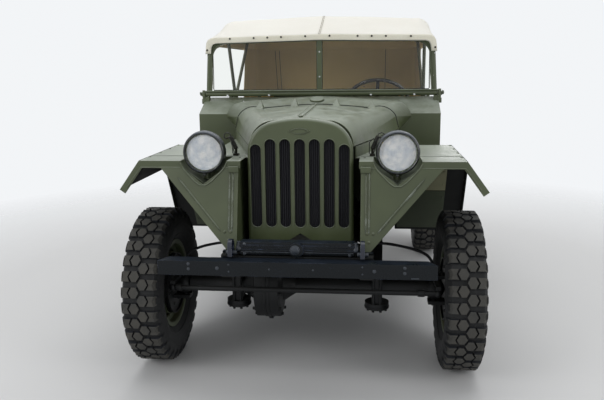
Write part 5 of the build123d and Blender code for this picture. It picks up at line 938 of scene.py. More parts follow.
def hood_trim():
    """Hinge hook of the hood and the rivets on each half."""
    hook, nose = Form(), HOOD_NOSE_Y
    hook.tube([(0, nose - 0.004, 1.2165), (0, nose - 0.010, 1.2190), (0, nose - 0.018, 1.2160)], 0.0030, 8)
    hook.tube([(-0.010, nose - 0.008, 1.2180), (0, nose - 0.010, 1.2195), (0.010, nose - 0.008, 1.2180)],
              0.0026, 8)
    hook.piece("hood_hinge_trim", "olive", "olive_paint")
    for side, name in SIDES:
        rivets = Form()
        for back in (0.045 + RIVET_PITCH * step for step in range(13)):
            rivets.lathe(RIVET, (side * RIVET_X, nose + back, HOOD_NOSE_Z + HOOD_RISE * back), UP, 10)
        rivets.piece(f"hood_{name}_rivets", "olive", "olive_paint", f"hood_{name}")


def hood_catches():
    """Sprung catches: a coil, the hook on its end and a wire clip on a bolted foot."""
    form = Form()
    for side in BOTH_SIDES:
        foot = (side * CATCH_X, CATCH_Y, CATCH_Z)
        coil = []
        for share in (step / 89 for step in range(90)):
            turn = 2 * pi * CATCH_TURNS * share
            coil.append((side * 0.024 * share + COIL_RADIUS * cos(turn), COIL_RADIUS * sin(turn),
                         0.032 + 0.054 * share))
        form.tube(from_here(foot, coil), 0.0019, 6)
        form.tube(from_here(foot, flipped(side, CATCH_HOOK)), 0.0026, 8)
        clip = ((-0.014, -0.010, 0.010), (-0.014, -0.010, 0.060), (side * 0.004, -0.010, 0.078),
                (side * 0.020, -0.010, 0.060), (side * 0.006, -0.010, 0.012))
        form.tube(from_here(foot, clip), 0.0021, 8)
        form.bolts(from_here(foot, ((-0.008, -0.011, 0.008), (0.008, -0.011, 0.008))), UP, 0.0034, 0.003)
    form.piece("hood_catches", "dark_metal", "black_paint")


# Engine: sizes of the head, places of the water pipe and the fan, and looks of the head piece
HEAD_HALF = 0.160
HEAD_PLATE = 0.0045
HEAD_BOLT_X = (-0.130, -0.062, 0.062, 0.130)
HEAD_BOLT_PITCH = 0.073
PLUG_PITCH = 0.120
PIPE_X = -0.070
PIPE_RADIUS = 0.0170
PIPE_BEND = 0.024
FAN_Z = 0.930
STEEL, FITTING, BRASS, CERAMIC = 1, 2, 3, 4


def engine_head():
    """Head plate with its bolts, plugs, oil filler and water pipe, under the hood."""
    low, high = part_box("engine")
    half, front, rear, top = HEAD_HALF, low[1], high[1], high[2]
    plate = top + HEAD_PLATE
    head = Form()
    head.block((0.010 - half, front + 0.012, top), (half - 0.010, rear - 0.012, top + 0.0012), look=STEEL)
    head.block((0.014 - half, front + 0.018, top + 0.0012), (half - 0.014, rear - 0.018, plate), soft=0.001)
    for x in HEAD_BOLT_X:
        head.bolts([(x, front + 0.040 + HEAD_BOLT_PITCH * step, plate - 0.0004) for step in range(8)],
                   UP, 0.0080, 0.0055, look=FITTING)
    for step in range(4):
        spot = (0.0, front + 0.115 + PLUG_PITCH * step, plate)
        head.lathe([(0.0105, 0.0), (0.0105, 0.009), (0.0085, 0.010)], spot, UP, 6, look=BRASS)
        head.lathe([(0.0070, 0.008), (0.0066, 0.024), (0.0050, 0.030), (0.0046, 0.036)], spot, UP, 20,
                   look=CERAMIC)
        head.lathe([(0.0030, 0.034), (0.0030, 0.041), (0.0018, 0.042)], spot, UP, 12, look=BRASS)
    head.lathe([(0.0180, 0.0), (0.0180, 0.030), (0.0250, 0.032), (0.0250, 0.046), (0.0200, 0.050)],
               (0.075, front + 0.030, top), UP, 28, look=FITTING)
    tank, pipe_y, pipe_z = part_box("radiator")[1][1], front + 0.028, top + 0.040
    bend = arc((PIPE_X, pipe_y - PIPE_BEND, pipe_z - PIPE_BEND), PIPE_BEND, 15, 90, 5, "yz")
    upright = [(PIPE_X, pipe_y, top - 0.004), (PIPE_X, pipe_y, top + 0.016)]
    head.tube([*upright, *bend, (PIPE_X, tank - 0.002, pipe_z)], PIPE_RADIUS, 20, look=FITTING)
    for y in (front - 0.020, tank + 0.022):
        head.lathe([(0.0172, -0.005), (0.0192, -0.005), (0.0192, 0.005), (0.0172, 0.005)],
                   (PIPE_X, y, pipe_z), BACK, 24, closed=True, look=STEEL)
    head.piece("engine_head", ("casting", "zinc", "dark_metal", "brass", "white"), "castings")


def engine_fan():
    """Pulley and four-bladed fan between the engine and the radiator."""
    fan, centre = Form(), Vector((0.0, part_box("engine")[0][1] - 0.034, FAN_Z))
    fan.lathe([(0.058, 0.014), (0.058, 0.018), (0.050, 0.024), (0.058, 0.030), (0.058, 0.034)],
              centre, BACK, 36)
    fan.lathe([(0.030, 0.036), (0.030, -0.004), (0.026, -0.008)], centre, BACK, 24)
    reach = Vector((0.056, 0.0010, 0.030))
    pitch = Matrix.Rotation(radians(24), 4, "X")
    for blade in range(4):
        swing = Matrix.Rotation(radians(45 + 90 * blade), 4, "Y")
        middle = centre + swing @ Vector((0.082, 0, 0))
        fan.block(middle - reach, middle + reach, turn=swing @ pitch, soft=0.0008)
    fan.piece("engine_fan", "dark_metal", "castings")


# Front fenders
FENDER_TOP_Z = 1.0318
GUSSET_TOP = (FRONT_AXLE_Y - 0.289, 1.027)
GUSSET_LEAN = 0.2576
# Pressed ribs of the gusset: sideways place and height of their tops and of their feet, radius
GUSSET_RIBS = ((0.300, 0.985, 0.300, 0.735, 0.0042), (0.286, 0.985, 0.287, 0.735, 0.0042),
               (0.533, 0.962, 0.336, 0.737, 0.0048))
POCKET_RADIUS = 0.112
POCKET_TOP_Z = 1.031
FENDER_FRONT_Y = FRONT_AXLE_Y - 0.2935
MUD_PLATE_X = (0.452, 0.514, 0.576, 0.638, 0.700)
# Lower and upper mud plate: heights of their edges and look; the lower look is darker as painted shade, the
# upper paler as painted light
MUD_PLATES = ((0.535, 0.768, 0), (0.772, 0.992, 1))


def on_gusset(x, z, proud=0.0):
    """Point on the slanting gusset below the fender, a little in front of it."""
    return Vector((x, GUSSET_TOP[0] - (GUSSET_TOP[1] - z) * GUSSET_LEAN - proud, z))


def pocket_bead(side):
    """Line round the foot of the pocket that the lamp sits in."""
    middle = (LAMP_X, FENDER_FRONT_Y - 0.001, LAMP_Z)
    foot = ((-0.040, 0, -0.119), (-0.015, 0, -0.137), (0.015, 0, -0.137), (0.040, 0, -0.119))
    line = [*arc(middle, POCKET_RADIUS, -165, -135, 5), *from_here(middle, foot),
            *arc(middle, POCKET_RADIUS, -46, -16, 5)]
    line = [Vector(point) for point in flipped(side, line) if point[2] < POCKET_TOP_Z]
    return [on_gusset(point.x, point.z, 0.0008) if point.z < 1.0 else point for point in line]


def fenders():
    """Pressed ribs, the bead round the lamp pocket, edge rolls, seams and fasteners."""
    for side, name in SIDES[::-1]:
        form = Form()
        for top_x, top_z, foot_x, foot_z, radius in GUSSET_RIBS:
            points = [on_gusset(side * (top_x + (foot_x - top_x) * share),
                                top_z + (foot_z - top_z) * share, 0.0004)
                      for share in (step / 10 for step in range(11))]
            # The ribs take the second look, whose pale edges are a painted highlight
            form.tube(points, [0.0012] + [radius] * 9 + [0.0012], 10, look=1)
        form.tube(pocket_bead(side), 0.0034, 8)
        for lip in (((0.258, 1.003), (0.326, 1.003)), ((0.520, 1.003), (0.700, 1.003), (0.768, 0.9115))):
            form.tube([(side * x, FENDER_FRONT_Y, z) for x, z in lip], 0.0030, 8)
        bracket = on_gusset(side * 0.284, 0.998, 0.006)
        form.block(*from_here(bracket, ((-0.022, -0.006, -0.014), (0.022, 0.006, 0.012))), soft=0.0015)
        form.bolts([on_gusset(side * x, z) for x, z in ((0.292, 0.735), (0.318, 0.735), (0.300, 0.700))],
                   (0, -1, 0.26), 0.0052, 0.004)
        for y in (FRONT_AXLE_Y - 0.16 + 0.15 * step for step in range(4)):
            form.bolts([(side * 0.700, y, FENDER_TOP_Z), (side * 0.278, y - 0.02, FENDER_TOP_Z)],
                       UP, 0.0050, 0.0035)
        form.bolts([(side * 0.790, FRONT_AXLE_Y + 0.310 + (1.032 - z) / 0.508 * 0.290, z)
                    for z in (0.60, 0.72, 0.84)], (0, -0.87, 0.5), 0.0050, 0.0035)
        form.piece(f"fender_trim_{name}", ("olive", "rubbed"), "olive_paint")
        seam, z = Form(), FENDER_TOP_Z + 0.0003
        seam.tube([(side * x, FRONT_AXLE_Y - 0.130, z) for x in (0.262, 0.706)], 0.0011, 6)
        seam.tube([(side * 0.708, FRONT_AXLE_Y + y, z) for y in (-0.288, 0.306)], 0.0009, 6)
        seam.piece(f"fender_seam_{name}", "seal", "hose_rubber")


def fender_linings():
    """Black sealing compound on the faces of the fenders that the wheels see; on the slopes behind the front
    wheels, beside the mud plates, the black is painted shade under the fender's flap.
    """
    for _, name in SIDES:
        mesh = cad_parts[f"fender_{name}"].data
        mesh.materials.append(MATERIALS["underseal"])
        for face in mesh.polygons:
            spot, way = face.center, face.normal
            below = way.z < -0.3 and abs(spot.x) > 0.30
            behind = way.y < -0.3 and way.z < 0.2 and spot.y > FRONT_AXLE_Y + 0.25
            if below or behind:
                face.material_index = 1


def mud_plates():
    """Painted plates screwed to the slopes behind the front wheels; the lower one darker as painted shade,
    the upper one paler as painted light.
    """
    for side, name in SIDES:
        form = Form()
        for low, high, look in MUD_PLATES:
            rings = []
            for z in (low + (high - low) * step / 6 for step in range(7)):
                row = [surface_point(f"fender_{name}", (side * x, FRONT_AXLE_Y + 0.10, z), BACK)
                       for x in MUD_PLATE_X]
                rings.append([spot + Vector((0, -0.0016, 0)) for spot in row]
                             + [spot + Vector((0, 0.0004, 0)) for spot in reversed(row)])
            form.ring_strip(rings, caps=True, look=look)
            for edge in rings[1::2]:
                places = [edge[0] + Vector((side * 0.012, 0, 0)), edge[4] - Vector((side * 0.012, 0, 0))]
                form.bolts(places, (0, -0.87, -0.5), 0.0040, 0.003, look=look)
        form.piece(f"mud_plate_{name}", ("mud_plate", "mud_plate_dusty"), "olive_paint")


# Bumper, crossmember and hooks
CROSSMEMBER_FRONT_Y = FRONT_AXLE_Y - 0.424
HOOK_X = 0.276


def bumper_fasteners():
    """Bolts of the bumper, and the beads, cap and bolts of the crossmember above it."""
    form, face, front = Form(), BUMPER_FRONT_Y, CROSSMEMBER_FRONT_Y
    for side in BOTH_SIDES:
        form.bolts([(side * 0.446, face, z) for z in (0.6300, 0.6080)], FORWARD, 0.0052, 0.005)
        form.bolt((side * 0.324, face, 0.6135), FORWARD, 0.0060, 0.004, 12)
        form.bolts([(side * HOOK_X, face, z) for z in (0.6300, 0.6000)], FORWARD, 0.0030, 0.003, 12)
    form.bolts([(x, face, 0.6130) for x in (-0.106, 0.075)], FORWARD, 0.0032, 0.003, 12)
    # The beads take the paler bluish look, a painted highlight along them
    for z in (0.6880, 0.6650):
        form.tube([(x, front - 0.0005, z) for x in (-0.236, 0.236)], 0.0024, 8)
    form.bolt((-0.006, front - 0.0145, 0.6790), FORWARD, 0.0155, 0.006)
    form.bolts([(x, front, z) for x in (-0.222, 0.222) for z in (0.6980, 0.6570)], FORWARD, 0.0055, 0.005)
    form.tube([(0.4711, face - 0.0002, 0.5860), (0.5029, face - 0.0002, 0.5868)], 0.0026, 8)
    form.piece("bumper_fasteners", "worn_metal", "black_paint")


def hook_pins():
    """Cross pin of each tow hook, and the stepped stud beside it."""
    form = Form()
    for side in BOTH_SIDES:
        form.lathe([(0.0085, -0.022), (0.0085, 0.022), (0.0060, 0.024)],
                   (side * HOOK_X, FRONT_AXLE_Y - 0.436, 0.664), ACROSS, 16)
        form.lathe([(0.0140, 0.0), (0.0150, 0.006), (0.0120, 0.012), (0.0090, 0.030), (0.0085, 0.036)],
                   (side * 0.247, FRONT_AXLE_Y - 0.415, 0.672), UP, 18)
    form.piece("hook_pins", "worn_metal", "black_paint")


# Windscreen
BASE_TUBE_Z = 1.2890
HINGE_X = 0.694
HINGE_Z = 1.272
WING_NUT = ((0.7130, -0.020, 0.012), (0.7165, -0.006, 0.002), (0.7165, 0.006, 0.002), (0.7130, 0.020, 0.012))
PANE_HALF_WIDTH = SCREEN_HALF_WIDTH - 0.0345
PANE_CORNER = 0.070
PANE_FOOT_Z = 1.2955
PANE_TOP_Z = 1.578
MIDDLE_SEAL_X = 0.0170
# Screws in the frame: sideways place and heights
FRAME_SCREWS = ((0.0, (1.370, 1.512)), (-0.6615, (1.386, 1.514)), (0.6585, (1.373, 1.497)))
SCUTTLE_SCREWS = ((0.150, 1.232), (0.255, 1.226), (-0.300, 1.226), (-0.450, 1.226))


def screen_trim():
    """Second base tube, hinges with wing nuts, and the beads of the frame."""
    form, y = Form(), SCREEN_Y
    form.tube([(x, y - 0.012, BASE_TUBE_Z) for x in (-0.700, 0.700)], 0.0055, 12)
    for side in BOTH_SIDES:
        x = side * HINGE_X
        form.tube([(x, y - 0.012, 1.236), (x, y - 0.016, 1.266), (x, y - 0.012, 1.296)], 0.0085, 10)
        form.block((x - 0.012, y - 0.020, 1.216), (x + 0.012, y + 0.010, 1.246), soft=0.003)
        form.lathe([(0.0125, 0.0), (0.0125, 0.005), (0.0085, 0.007), (0.0085, 0.013), (0.0040, 0.016)],
                   (side * 0.7040, y, HINGE_Z), (side, 0, 0), 20)
        form.tube(from_here((0, y, HINGE_Z), flipped(side, WING_NUT)), 0.0042, 8)
        post = side * (SCREEN_HALF_WIDTH - 0.0055)
        form.tube([(post, y - 0.0085, z) for z in (1.290, 1.480, 1.530)], 0.0034, 8)
        for x, top, radius in ((SCREEN_HALF_WIDTH - 0.0300, 1.500, 0.0022), (0.0140, 1.584, 0.0020)):
            form.tube([(side * x, y - 0.0082, z) for z in (1.300, top)], radius, 8)
    form.piece("screen_trim", "olive", "olive_paint")


def screen_seal():
    """Rubber round each pane."""
    form, y = Form(), SCREEN_Y - 0.0035
    middle = (PANE_HALF_WIDTH - PANE_CORNER, y, PANE_TOP_Z - PANE_CORNER)
    line = [(MIDDLE_SEAL_X, y, PANE_FOOT_Z), (PANE_HALF_WIDTH, y, PANE_FOOT_Z),
            (PANE_HALF_WIDTH, y, PANE_TOP_Z - PANE_CORNER), *arc(middle, PANE_CORNER, 10, 90, 8),
            (MIDDLE_SEAL_X, y, PANE_TOP_Z + 0.004)]
    for side in BOTH_SIDES:
        form.tube(flipped(side, line), 0.0032, 8, closed=True)
    form.piece("screen_seal", "seal", "hose_rubber")


def screen_screws():
    """Screws in the posts, along the base and on the slope of the scuttle."""
    form, y = Form(), SCREEN_Y
    for x, heights in FRAME_SCREWS:
        for z in heights:
            form.lathe([(0.0052, 0.0), (0.0050, 0.0016), (0.0036, 0.0034), (0.0012, 0.0042)],
                       (x, y - 0.0084, z), FORWARD, 14)
    form.bolts([(x, y - 0.012, 1.264) for x in (-0.55, -0.30, 0.30, 0.55)], FORWARD, 0.0042, 0.004)
    for x, z in SCUTTLE_SCREWS:
        form.lathe([(0.0060, 0.0), (0.0055, 0.0020), (0.0020, 0.0036)],
                   (x, FRONT_AXLE_Y + 0.693 + (z - 1.165) * 2.1, z + 0.0035), (0, -0.42, 0.9), 12)
    form.piece("screen_screws", "zinc", "lamp_steel")


# Dashboard and controls
DASH_Z = 1.171
# Dials: sideways place, height, radius and how far they stand out
DIALS = ((0.0, DASH_Z, 0.050, 0.0145), (0.165, DASH_Z + 0.004, 0.030, 0.0),
         (-0.140, DASH_Z + 0.004, 0.030, 0.0))
DIAL_FACE, DIAL_MARKS = 1, 2
KNOB = ((0.0100, 0.0), (0.0100, 0.004), (0.0050, 0.006), (0.0050, 0.018), (0.0085, 0.020), (0.0085, 0.026),
        (0.0040, 0.029))
WHEEL_MIDDLE = (0.341, FRONT_AXLE_Y + 1.253, 1.185)
WHEEL_RAKE = 38


def dash_dials():
    """Dials with marks and needles, knobs and screws on the dashboard."""
    form, face_y = Form(), SCUTTLE_REAR_Y
    for x, z, radius, lift in DIALS:
        place = Vector((x, face_y, z))
        form.lathe([(radius, lift), (radius + 0.004, lift + 0.002), (radius + 0.004, lift + 0.006),
                    (radius, lift + 0.008)], place, BACK, 40, closed=True)
        form.lathe([(radius, lift + 0.001), (0.0004, lift + 0.0014)], place, BACK, 40, look=DIAL_FACE)
        centre = place + Vector((0, lift + 0.0020, 0))
        for turn in (radians(-30 + 20 * step) for step in range(13)):
            way = Vector((cos(turn), 0, sin(turn)))
            form.tube([centre + way * radius * share for share in (0.78, 0.92)], 0.0008, 4, look=DIAL_MARKS)
        centre.y += 0.0006
        needle = Vector((cos(radians(140)), 0, sin(radians(140))))
        form.tube([centre, centre + needle * radius * 0.72], 0.0010, 5, look=DIAL_MARKS)
    for x in (-0.235, -0.200, 0.235, 0.265):
        form.lathe(KNOB, (x, face_y, DASH_Z - 0.020), BACK, 18)
    form.bolts([(x, face_y, 1.205 if abs(x) > 0.5 else 1.222) for x in (-0.62, -0.45, -0.32, 0.40, 0.62)],
               BACK, 0.0045, 0.003, 12)
    form.piece("dash_dials", ("plastic", "dial", "white"), "black_paint", smooth=50.0)


def steering_boss():
    """Button in the middle of the steering wheel, and the rivets along its spokes."""
    form, middle = Form(), Vector(WHEEL_MIDDLE)
    way = Vector((0.0, cos(radians(WHEEL_RAKE)), sin(radians(WHEEL_RAKE))))
    form.lathe([(0.0345, -0.004), (0.0360, -0.001), (0.0350, 0.004), (0.0270, 0.007), (0.0265, 0.011),
                (0.0200, 0.0135), (0.0010, 0.0145)], middle, way, 36)
    along = Vector((0.0, way.z, -way.y))
    for turn in (radians(90 + 120 * spoke) for spoke in range(3)):
        out = Vector(ACROSS) * sin(turn) + along * cos(turn)
        for reach in (0.060, 0.120, 0.172):
            form.lathe([(0.0040, -0.001), (0.0036, 0.0012), (0.0015, 0.002)],
                       middle + out * reach - way * 0.0020, way, 10)
    form.piece("steering_boss", "plastic", "black_paint", "steering_wheel", smooth=50.0)


# Wheels
NUT_CIRCLE = 0.074
RIM_BEAD = ((0.2030, 0.0575), (0.2170, 0.0575), (0.2180, 0.0600), (0.2160, 0.0618), (0.2030, 0.0600))
VALVE = ((0.020, 0.176, 0), (0.044, 0.178, 0), (0.058, 0.181, 0))


def nuts_and_beads(form, middle, way, plane):
    """Five nuts and both rim beads of a wheel that faces that way."""
    for place in around(middle + Vector(way) * 0.0180, 5, NUT_CIRCLE, plane):
        form.lathe([(0.0150, 0.0), (0.0148, 0.004), (0.0100, 0.007)], place, way, 16)
        form.bolt(place, way, 0.0125, 0.016)
    for face in (1, -1):
        form.lathe([(radius, face * along) for radius, along in RIM_BEAD], middle, way, 72, closed=True)


def wheel_trim():
    """Nuts, valves, rim beads and hub bolts on each wheel."""
    for corner in CORNERS:
        side = 1 if corner.endswith("left") else -1
        y = FRONT_AXLE_Y if corner.startswith("front") else REAR_AXLE_Y
        middle = Vector((side * TRACK_HALF, y, AXLE_Z))
        form = Form()
        nuts_and_beads(form, middle, (side, 0, 0), "yz")
        form.bolts(around(middle + Vector((side * 0.0840, 0, 0)), 6, 0.024, start=pi / 6),
                   (side, 0, 0), 0.0052, 0.010)
        form.tube(from_here(middle, flipped(side, VALVE)), [0.0045, 0.0045, 0.0032], 10)
        form.piece("wheel_trim_" + corner, "wheel", "wheel_paint", "wheel_" + corner)
    low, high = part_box("spare_wheel")
    form = Form()
    nuts_and_beads(form, Vector((0.0, (low.y + high.y) / 2, (low.z + high.z) / 2)), BACK, "xz")
    form.piece("wheel_trim_spare", "wheel", "wheel_paint")


# Axles, springs and drums
DIFFERENTIALS = ((-0.182, FRONT_AXLE_Y), (0.0, REAR_AXLE_Y))
HOUSING_CIRCLE = 0.139
FRONT_PAD_X = 0.340
PAD_CIRCLE = 0.046
FRONT_HOOP = ((0, -0.046, 0.290), (0, -0.046, 0.440), (0, -0.038, 0.4515), (0, 0.038, 0.4515),
              (0, 0.046, 0.440), (0, 0.046, 0.290))
REAR_SPRING_X = 0.352
LEAF_RADIUS = 2.3899
LEAF_STEP = 0.009
LEAF_CENTRE_Z = 2.8772
CLIP_HALF = 0.0275
U_BOLT_REACH = 0.045
# Clips of the rear springs: place along and leaves that each one holds
SPRING_CLIPS = ((-0.300, 4), (-0.190, 6), (0.190, 6), (0.300, 4))
PIVOT_X = 0.625
DRUM_PLATE_X = 0.6630


def rear_leaf_z(shift, leaves):
    """Height of the rear spring's face below that many leaves."""
    return LEAF_CENTRE_Z - sqrt((LEAF_RADIUS + LEAF_STEP * leaves) ** 2 - shift ** 2)


def housing_bolts(form):
    """Bolts and flanges round both axle housings, with their drain plugs."""
    for x, y in DIFFERENTIALS:
        for side in BOTH_SIDES:
            places = around((x + side * 0.0570, y, AXLE_Z), 10, HOUSING_CIRCLE, start=pi / 10)
            form.bolts(places, (side, 0, 0), 0.0085, 0.013)
        for low, high in ((-0.017, -0.001), (0.001, 0.017)):
            form.lathe([(0.1505, low), (0.1545, low + 0.002), (0.1545, high - 0.002), (0.1505, high)],
                       (x, y, AXLE_Z), ACROSS, 56, closed=True)
        form.bolt((x + 0.010, y - 0.050, AXLE_Z - 0.1435), (0, -0.30, -0.95), 0.0120, 0.012)


def front_spring_pad(form, side):
    """Bolts and ring below a front spring, and the two hoops that hold it."""
    x, y = side * FRONT_PAD_X, FRONT_AXLE_Y
    form.bolts(around((x, y, 0.2755), 8, PAD_CIRCLE, "yx", pi / 8), DOWN, 0.0070, 0.012)
    form.lathe([(0.0580, -0.003), (0.0600, -0.001), (0.0600, 0.006), (0.0580, 0.008)], (x, y, 0.2800),
               UP, 40, closed=True)
    for shift in (-0.016, 0.016):
        form.tube(from_here((x + shift, y, 0), FRONT_HOOP), 0.0060, 8)


def rear_spring_fittings(form, side):
    """Plate on a rear spring, its U-bolts with nuts, and the clips round the leaves."""
    x, y, top = side * REAR_SPRING_X, REAR_AXLE_Y, rear_leaf_z(0.0, 0)
    form.block((x - 0.034, y - 0.062, top), (x + 0.034, y + 0.062, top + 0.009), soft=0.002)
    loop = ((0, -U_BOLT_REACH, top + 0.018), (0, -U_BOLT_REACH, AXLE_Z), (0, -0.032, AXLE_Z - 0.032),
            (0, 0.0, AXLE_Z - 0.0455), (0, 0.032, AXLE_Z - 0.032), (0, U_BOLT_REACH, AXLE_Z),
            (0, U_BOLT_REACH, top + 0.018))
    for shift in (-0.029, 0.029):
        form.tube(from_here((x + shift, y, 0), loop), 0.0055, 8)
        form.bolts([(x + shift, y + side * U_BOLT_REACH, top + 0.009) for side in BOTH_SIDES],
                   UP, 0.0090, 0.009)
    for shift, leaves in SPRING_CLIPS:
        low, high = rear_leaf_z(shift, leaves) - 0.001, rear_leaf_z(shift, 0) + 0.001
        corners = ((-CLIP_HALF, low), (-CLIP_HALF, high), (CLIP_HALF, high), (CLIP_HALF, low))
        form.tube([(x + wide, y + shift, z) for wide, z in corners], 0.0040, 8, closed=True)


def axle_bolts():
    """Fasteners of both axles and of the four springs."""
    form = Form()
    housing_bolts(form)
    for side in BOTH_SIDES:
        front_spring_pad(form, side)
        rear_spring_fittings(form, side)
    form.piece("axle_bolts", "chassis", "black_paint")


def knuckle_bolts():
    """Bolts of the pivots and of the brake's backing plate, with the plate's rolled edge."""
    for side, name in SIDES:
        form = Form()
        for way in BOTH_SIDES:
            places = [(side * PIVOT_X + shift, FRONT_AXLE_Y + back, AXLE_Z + way * 0.0720)
                      for shift in (-0.020, 0.020) for back in (-0.018, 0.018)]
            form.bolts(places, (0, 0, way), 0.0055, 0.007)
        plate = (side * DRUM_PLATE_X, FRONT_AXLE_Y, AXLE_Z)
        form.bolts(around(plate, 6, 0.105, start=0.3), (-side, 0, 0), 0.0070, 0.006)
        form.lathe([(0.1465, 0.0), (0.1500, -0.004), (0.1500, -0.009), (0.1440, -0.010)], plate, (side, 0, 0),
                   56, closed=True)
        form.piece("knuckle_bolts_" + name, "chassis", "black_paint", "knuckle_" + name)


def tie_rod_clamps():
    """A clamp near each end of the tie rod."""
    form = Form()
    for side in BOTH_SIDES:
        form.lathe([(0.0150, -0.040), (0.0165, -0.036), (0.0165, -0.012), (0.0150, -0.008)],
                   (side * 0.560, FRONT_AXLE_Y - 0.200, AXLE_Z + 0.044), ACROSS, 16)
    form.piece("tie_rod_clamps", "chassis", "black_paint", "tie_rod")


HOSE_DIAMETER = 0.014
HOSE_ROUTE = ((0.3203, FRONT_AXLE_Y + 0.110, 0.567), (0.380, FRONT_AXLE_Y + 0.110, 0.567),
              (0.440, FRONT_AXLE_Y + 0.080, 0.566), (0.537, FRONT_AXLE_Y + 0.035, 0.556),
              (0.602, FRONT_AXLE_Y + 0.006, 0.525), (0.612, FRONT_AXLE_Y, 0.462))


def brake_hoses():
    """One hose on each side, from the frame rail down to the wheel's knuckle."""
    for side, name in SIDES:
        route = flipped(side, HOSE_ROUTE)
        data = bpy.data.curves.new("brake_hose_" + name, "CURVE")
        data.dimensions = "3D"
        data.bevel_depth = HOSE_DIAMETER / 2
        data.bevel_resolution = 4
        data.resolution_u = 16
        data.use_fill_caps = True
        line = data.splines.new("NURBS")
        line.points.add(len(route) - 1)
        for point, place in zip(line.points, route):
            point.co = (*place, 1.0)
        line.order_u = 3
        line.use_endpoint_u = True
        data.materials.append(MATERIALS["hose"])
        hose = add_piece("brake_hose_" + name, data, "body")
        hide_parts("brake_hoses")


# Body tub, rear fenders and tail
FENDER_EDGE_X = 0.8115
REAR_FENDER_TOP_Z = 0.846
LOOP_Z = 0.965


def tub_trim():
    """Pressed ribs, rivets and grab loops on the sides of the tub, and the rear fenders' edges."""
    for side, name in SIDES:
        form = Form()
        x, out = side * (BODY_HALF_WIDTH + 0.0005), (side, 0, 0)
        for z in (0.640, 0.690):
            form.tube([(x, FRONT_AXLE_Y + y, z) for y in (0.990, 1.460)], 0.0040, 8)
        form.bolts([(x, FRONT_AXLE_Y + 1.600 + 0.18 * step, 1.055) for step in range(5)],
                   out, 0.0050, 0.004, 12)
        form.bolts([(x, FRONT_AXLE_Y + 0.990 + 0.055 * step, 0.575) for step in range(9)],
                   out, 0.0045, 0.0035, 12)
        form.bolts([(x, FRONT_AXLE_Y + y, z) for z in (0.62, 0.76, 0.90, 1.04) for y in (0.915, 1.560)],
                   out, 0.0048, 0.0035, 12)
        form.tube([(side * FENDER_EDGE_X, REAR_AXLE_Y + shift, REAR_FENDER_TOP_Z)
                   for shift in (-0.290, 0.290)], 0.0032, 8)
        form.bolts([(side * 0.712, REAR_AXLE_Y + shift, REAR_FENDER_TOP_Z) for shift in (-0.22, 0.0, 0.22)],
                   UP, 0.0055, 0.004)
        wide = side * (BODY_HALF_WIDTH + 0.020)
        loop = ((x, 1.640), (wide, 1.655), (wide, 1.765), (x, 1.780))
        form.tube([(place, FRONT_AXLE_Y + y, LOOP_Z) for place, y in loop], 0.0055, 10)
        form.piece("tub_trim_" + name, "olive", "olive_paint")


def tail_trim():
    """Rivets and pressed ribs of the rear panel, and the rim of the tail lamp."""
    form = Form()
    form.bolts([(x, BODY_REAR_Y, z) for x in (-0.60, -0.30, 0.30, 0.60) for z in (0.62, 1.05)],
               BACK, 0.0055, 0.004, 12)
    for z in (0.720, 0.860, 1.000):
        for ends in ((-0.640, -0.150), (0.150, 0.480)):
            form.tube([(x, BODY_REAR_Y + 0.0006, z) for x in ends], 0.0040, 8)
    form.piece("tail_ribs", "olive", "olive_paint")
    rim = Form()
    low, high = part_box("tail_lamp")
    rim.lathe([(0.0405, -0.0215), (0.0425, -0.020), (0.0425, 0.010), (0.0405, 0.014), (0.0340, 0.0235),
               (0.0330, 0.0200)], (low + high) / 2, BACK, 40, closed=True)
    rim.piece("tail_lamp_rim", "rim", "lamp_steel")


# Bows of the canopy
BOW_PIVOT_X = BODY_HALF_WIDTH - 0.035
BOW_PIVOT_Y = FRONT_AXLE_Y + 1.575
BOW_PIVOT_Z = 1.215


def bow_trim():
    """Clamps and bolts where the bows stand on the body."""
    form = Form()
    for side in BOTH_SIDES:
        x, y = side * BOW_PIVOT_X, BOW_PIVOT_Y
        for z, axis, half in ((BOW_PIVOT_Z, ACROSS, 0.016), (BOW_PIVOT_Z - 0.075, UP, 0.020)):
            form.lathe([(0.0150, -half), (0.0165, 0.003 - half), (0.0165, half - 0.003), (0.0150, half)],
                       (x, y, z), axis, 20)
        form.bolt((x + side * 0.016, y, BOW_PIVOT_Z), (side, 0, 0), 0.0090, 0.008)
    form.piece("bow_fittings", "olive_inner", "bow_steel")


# Seats
# Pads: name, middle, half width, place of the lower front edge, depth, height, lean, voxel
SEAT_PADS = (
    ("seat_left", 0.338, 0.225, 0.105, 0.8603, 0.330, 0.090, 0.0, 0.0085),
    ("seat_right", -0.338, 0.225, 0.105, 0.8603, 0.330, 0.090, 0.0, 0.0085),
    ("bench_seat", 0.0, 0.560, 0.845, 0.8603, 0.330, 0.090, 0.0, 0.0110),
    ("back_left", 0.338, 0.225, 0.4719, 0.9000, 0.070, 0.335, 14.0, 0.0085),
    ("back_right", -0.338, 0.225, 0.4719, 0.9000, 0.070, 0.335, 14.0, 0.0085),
    ("bench_back", 0.0, 0.560, 1.2079, 0.9000, 0.070, 0.285, 7.0, 0.0110),
)
CUSHION_START = 0.90
BACK_START = 0.92
PAD_MARGIN = 0.007
PAD_CORNER = 0.040
PAD_SWELL = 0.024
PAD_FILL_FRAMES = 20
BENCH_SEAM_X = 0.187


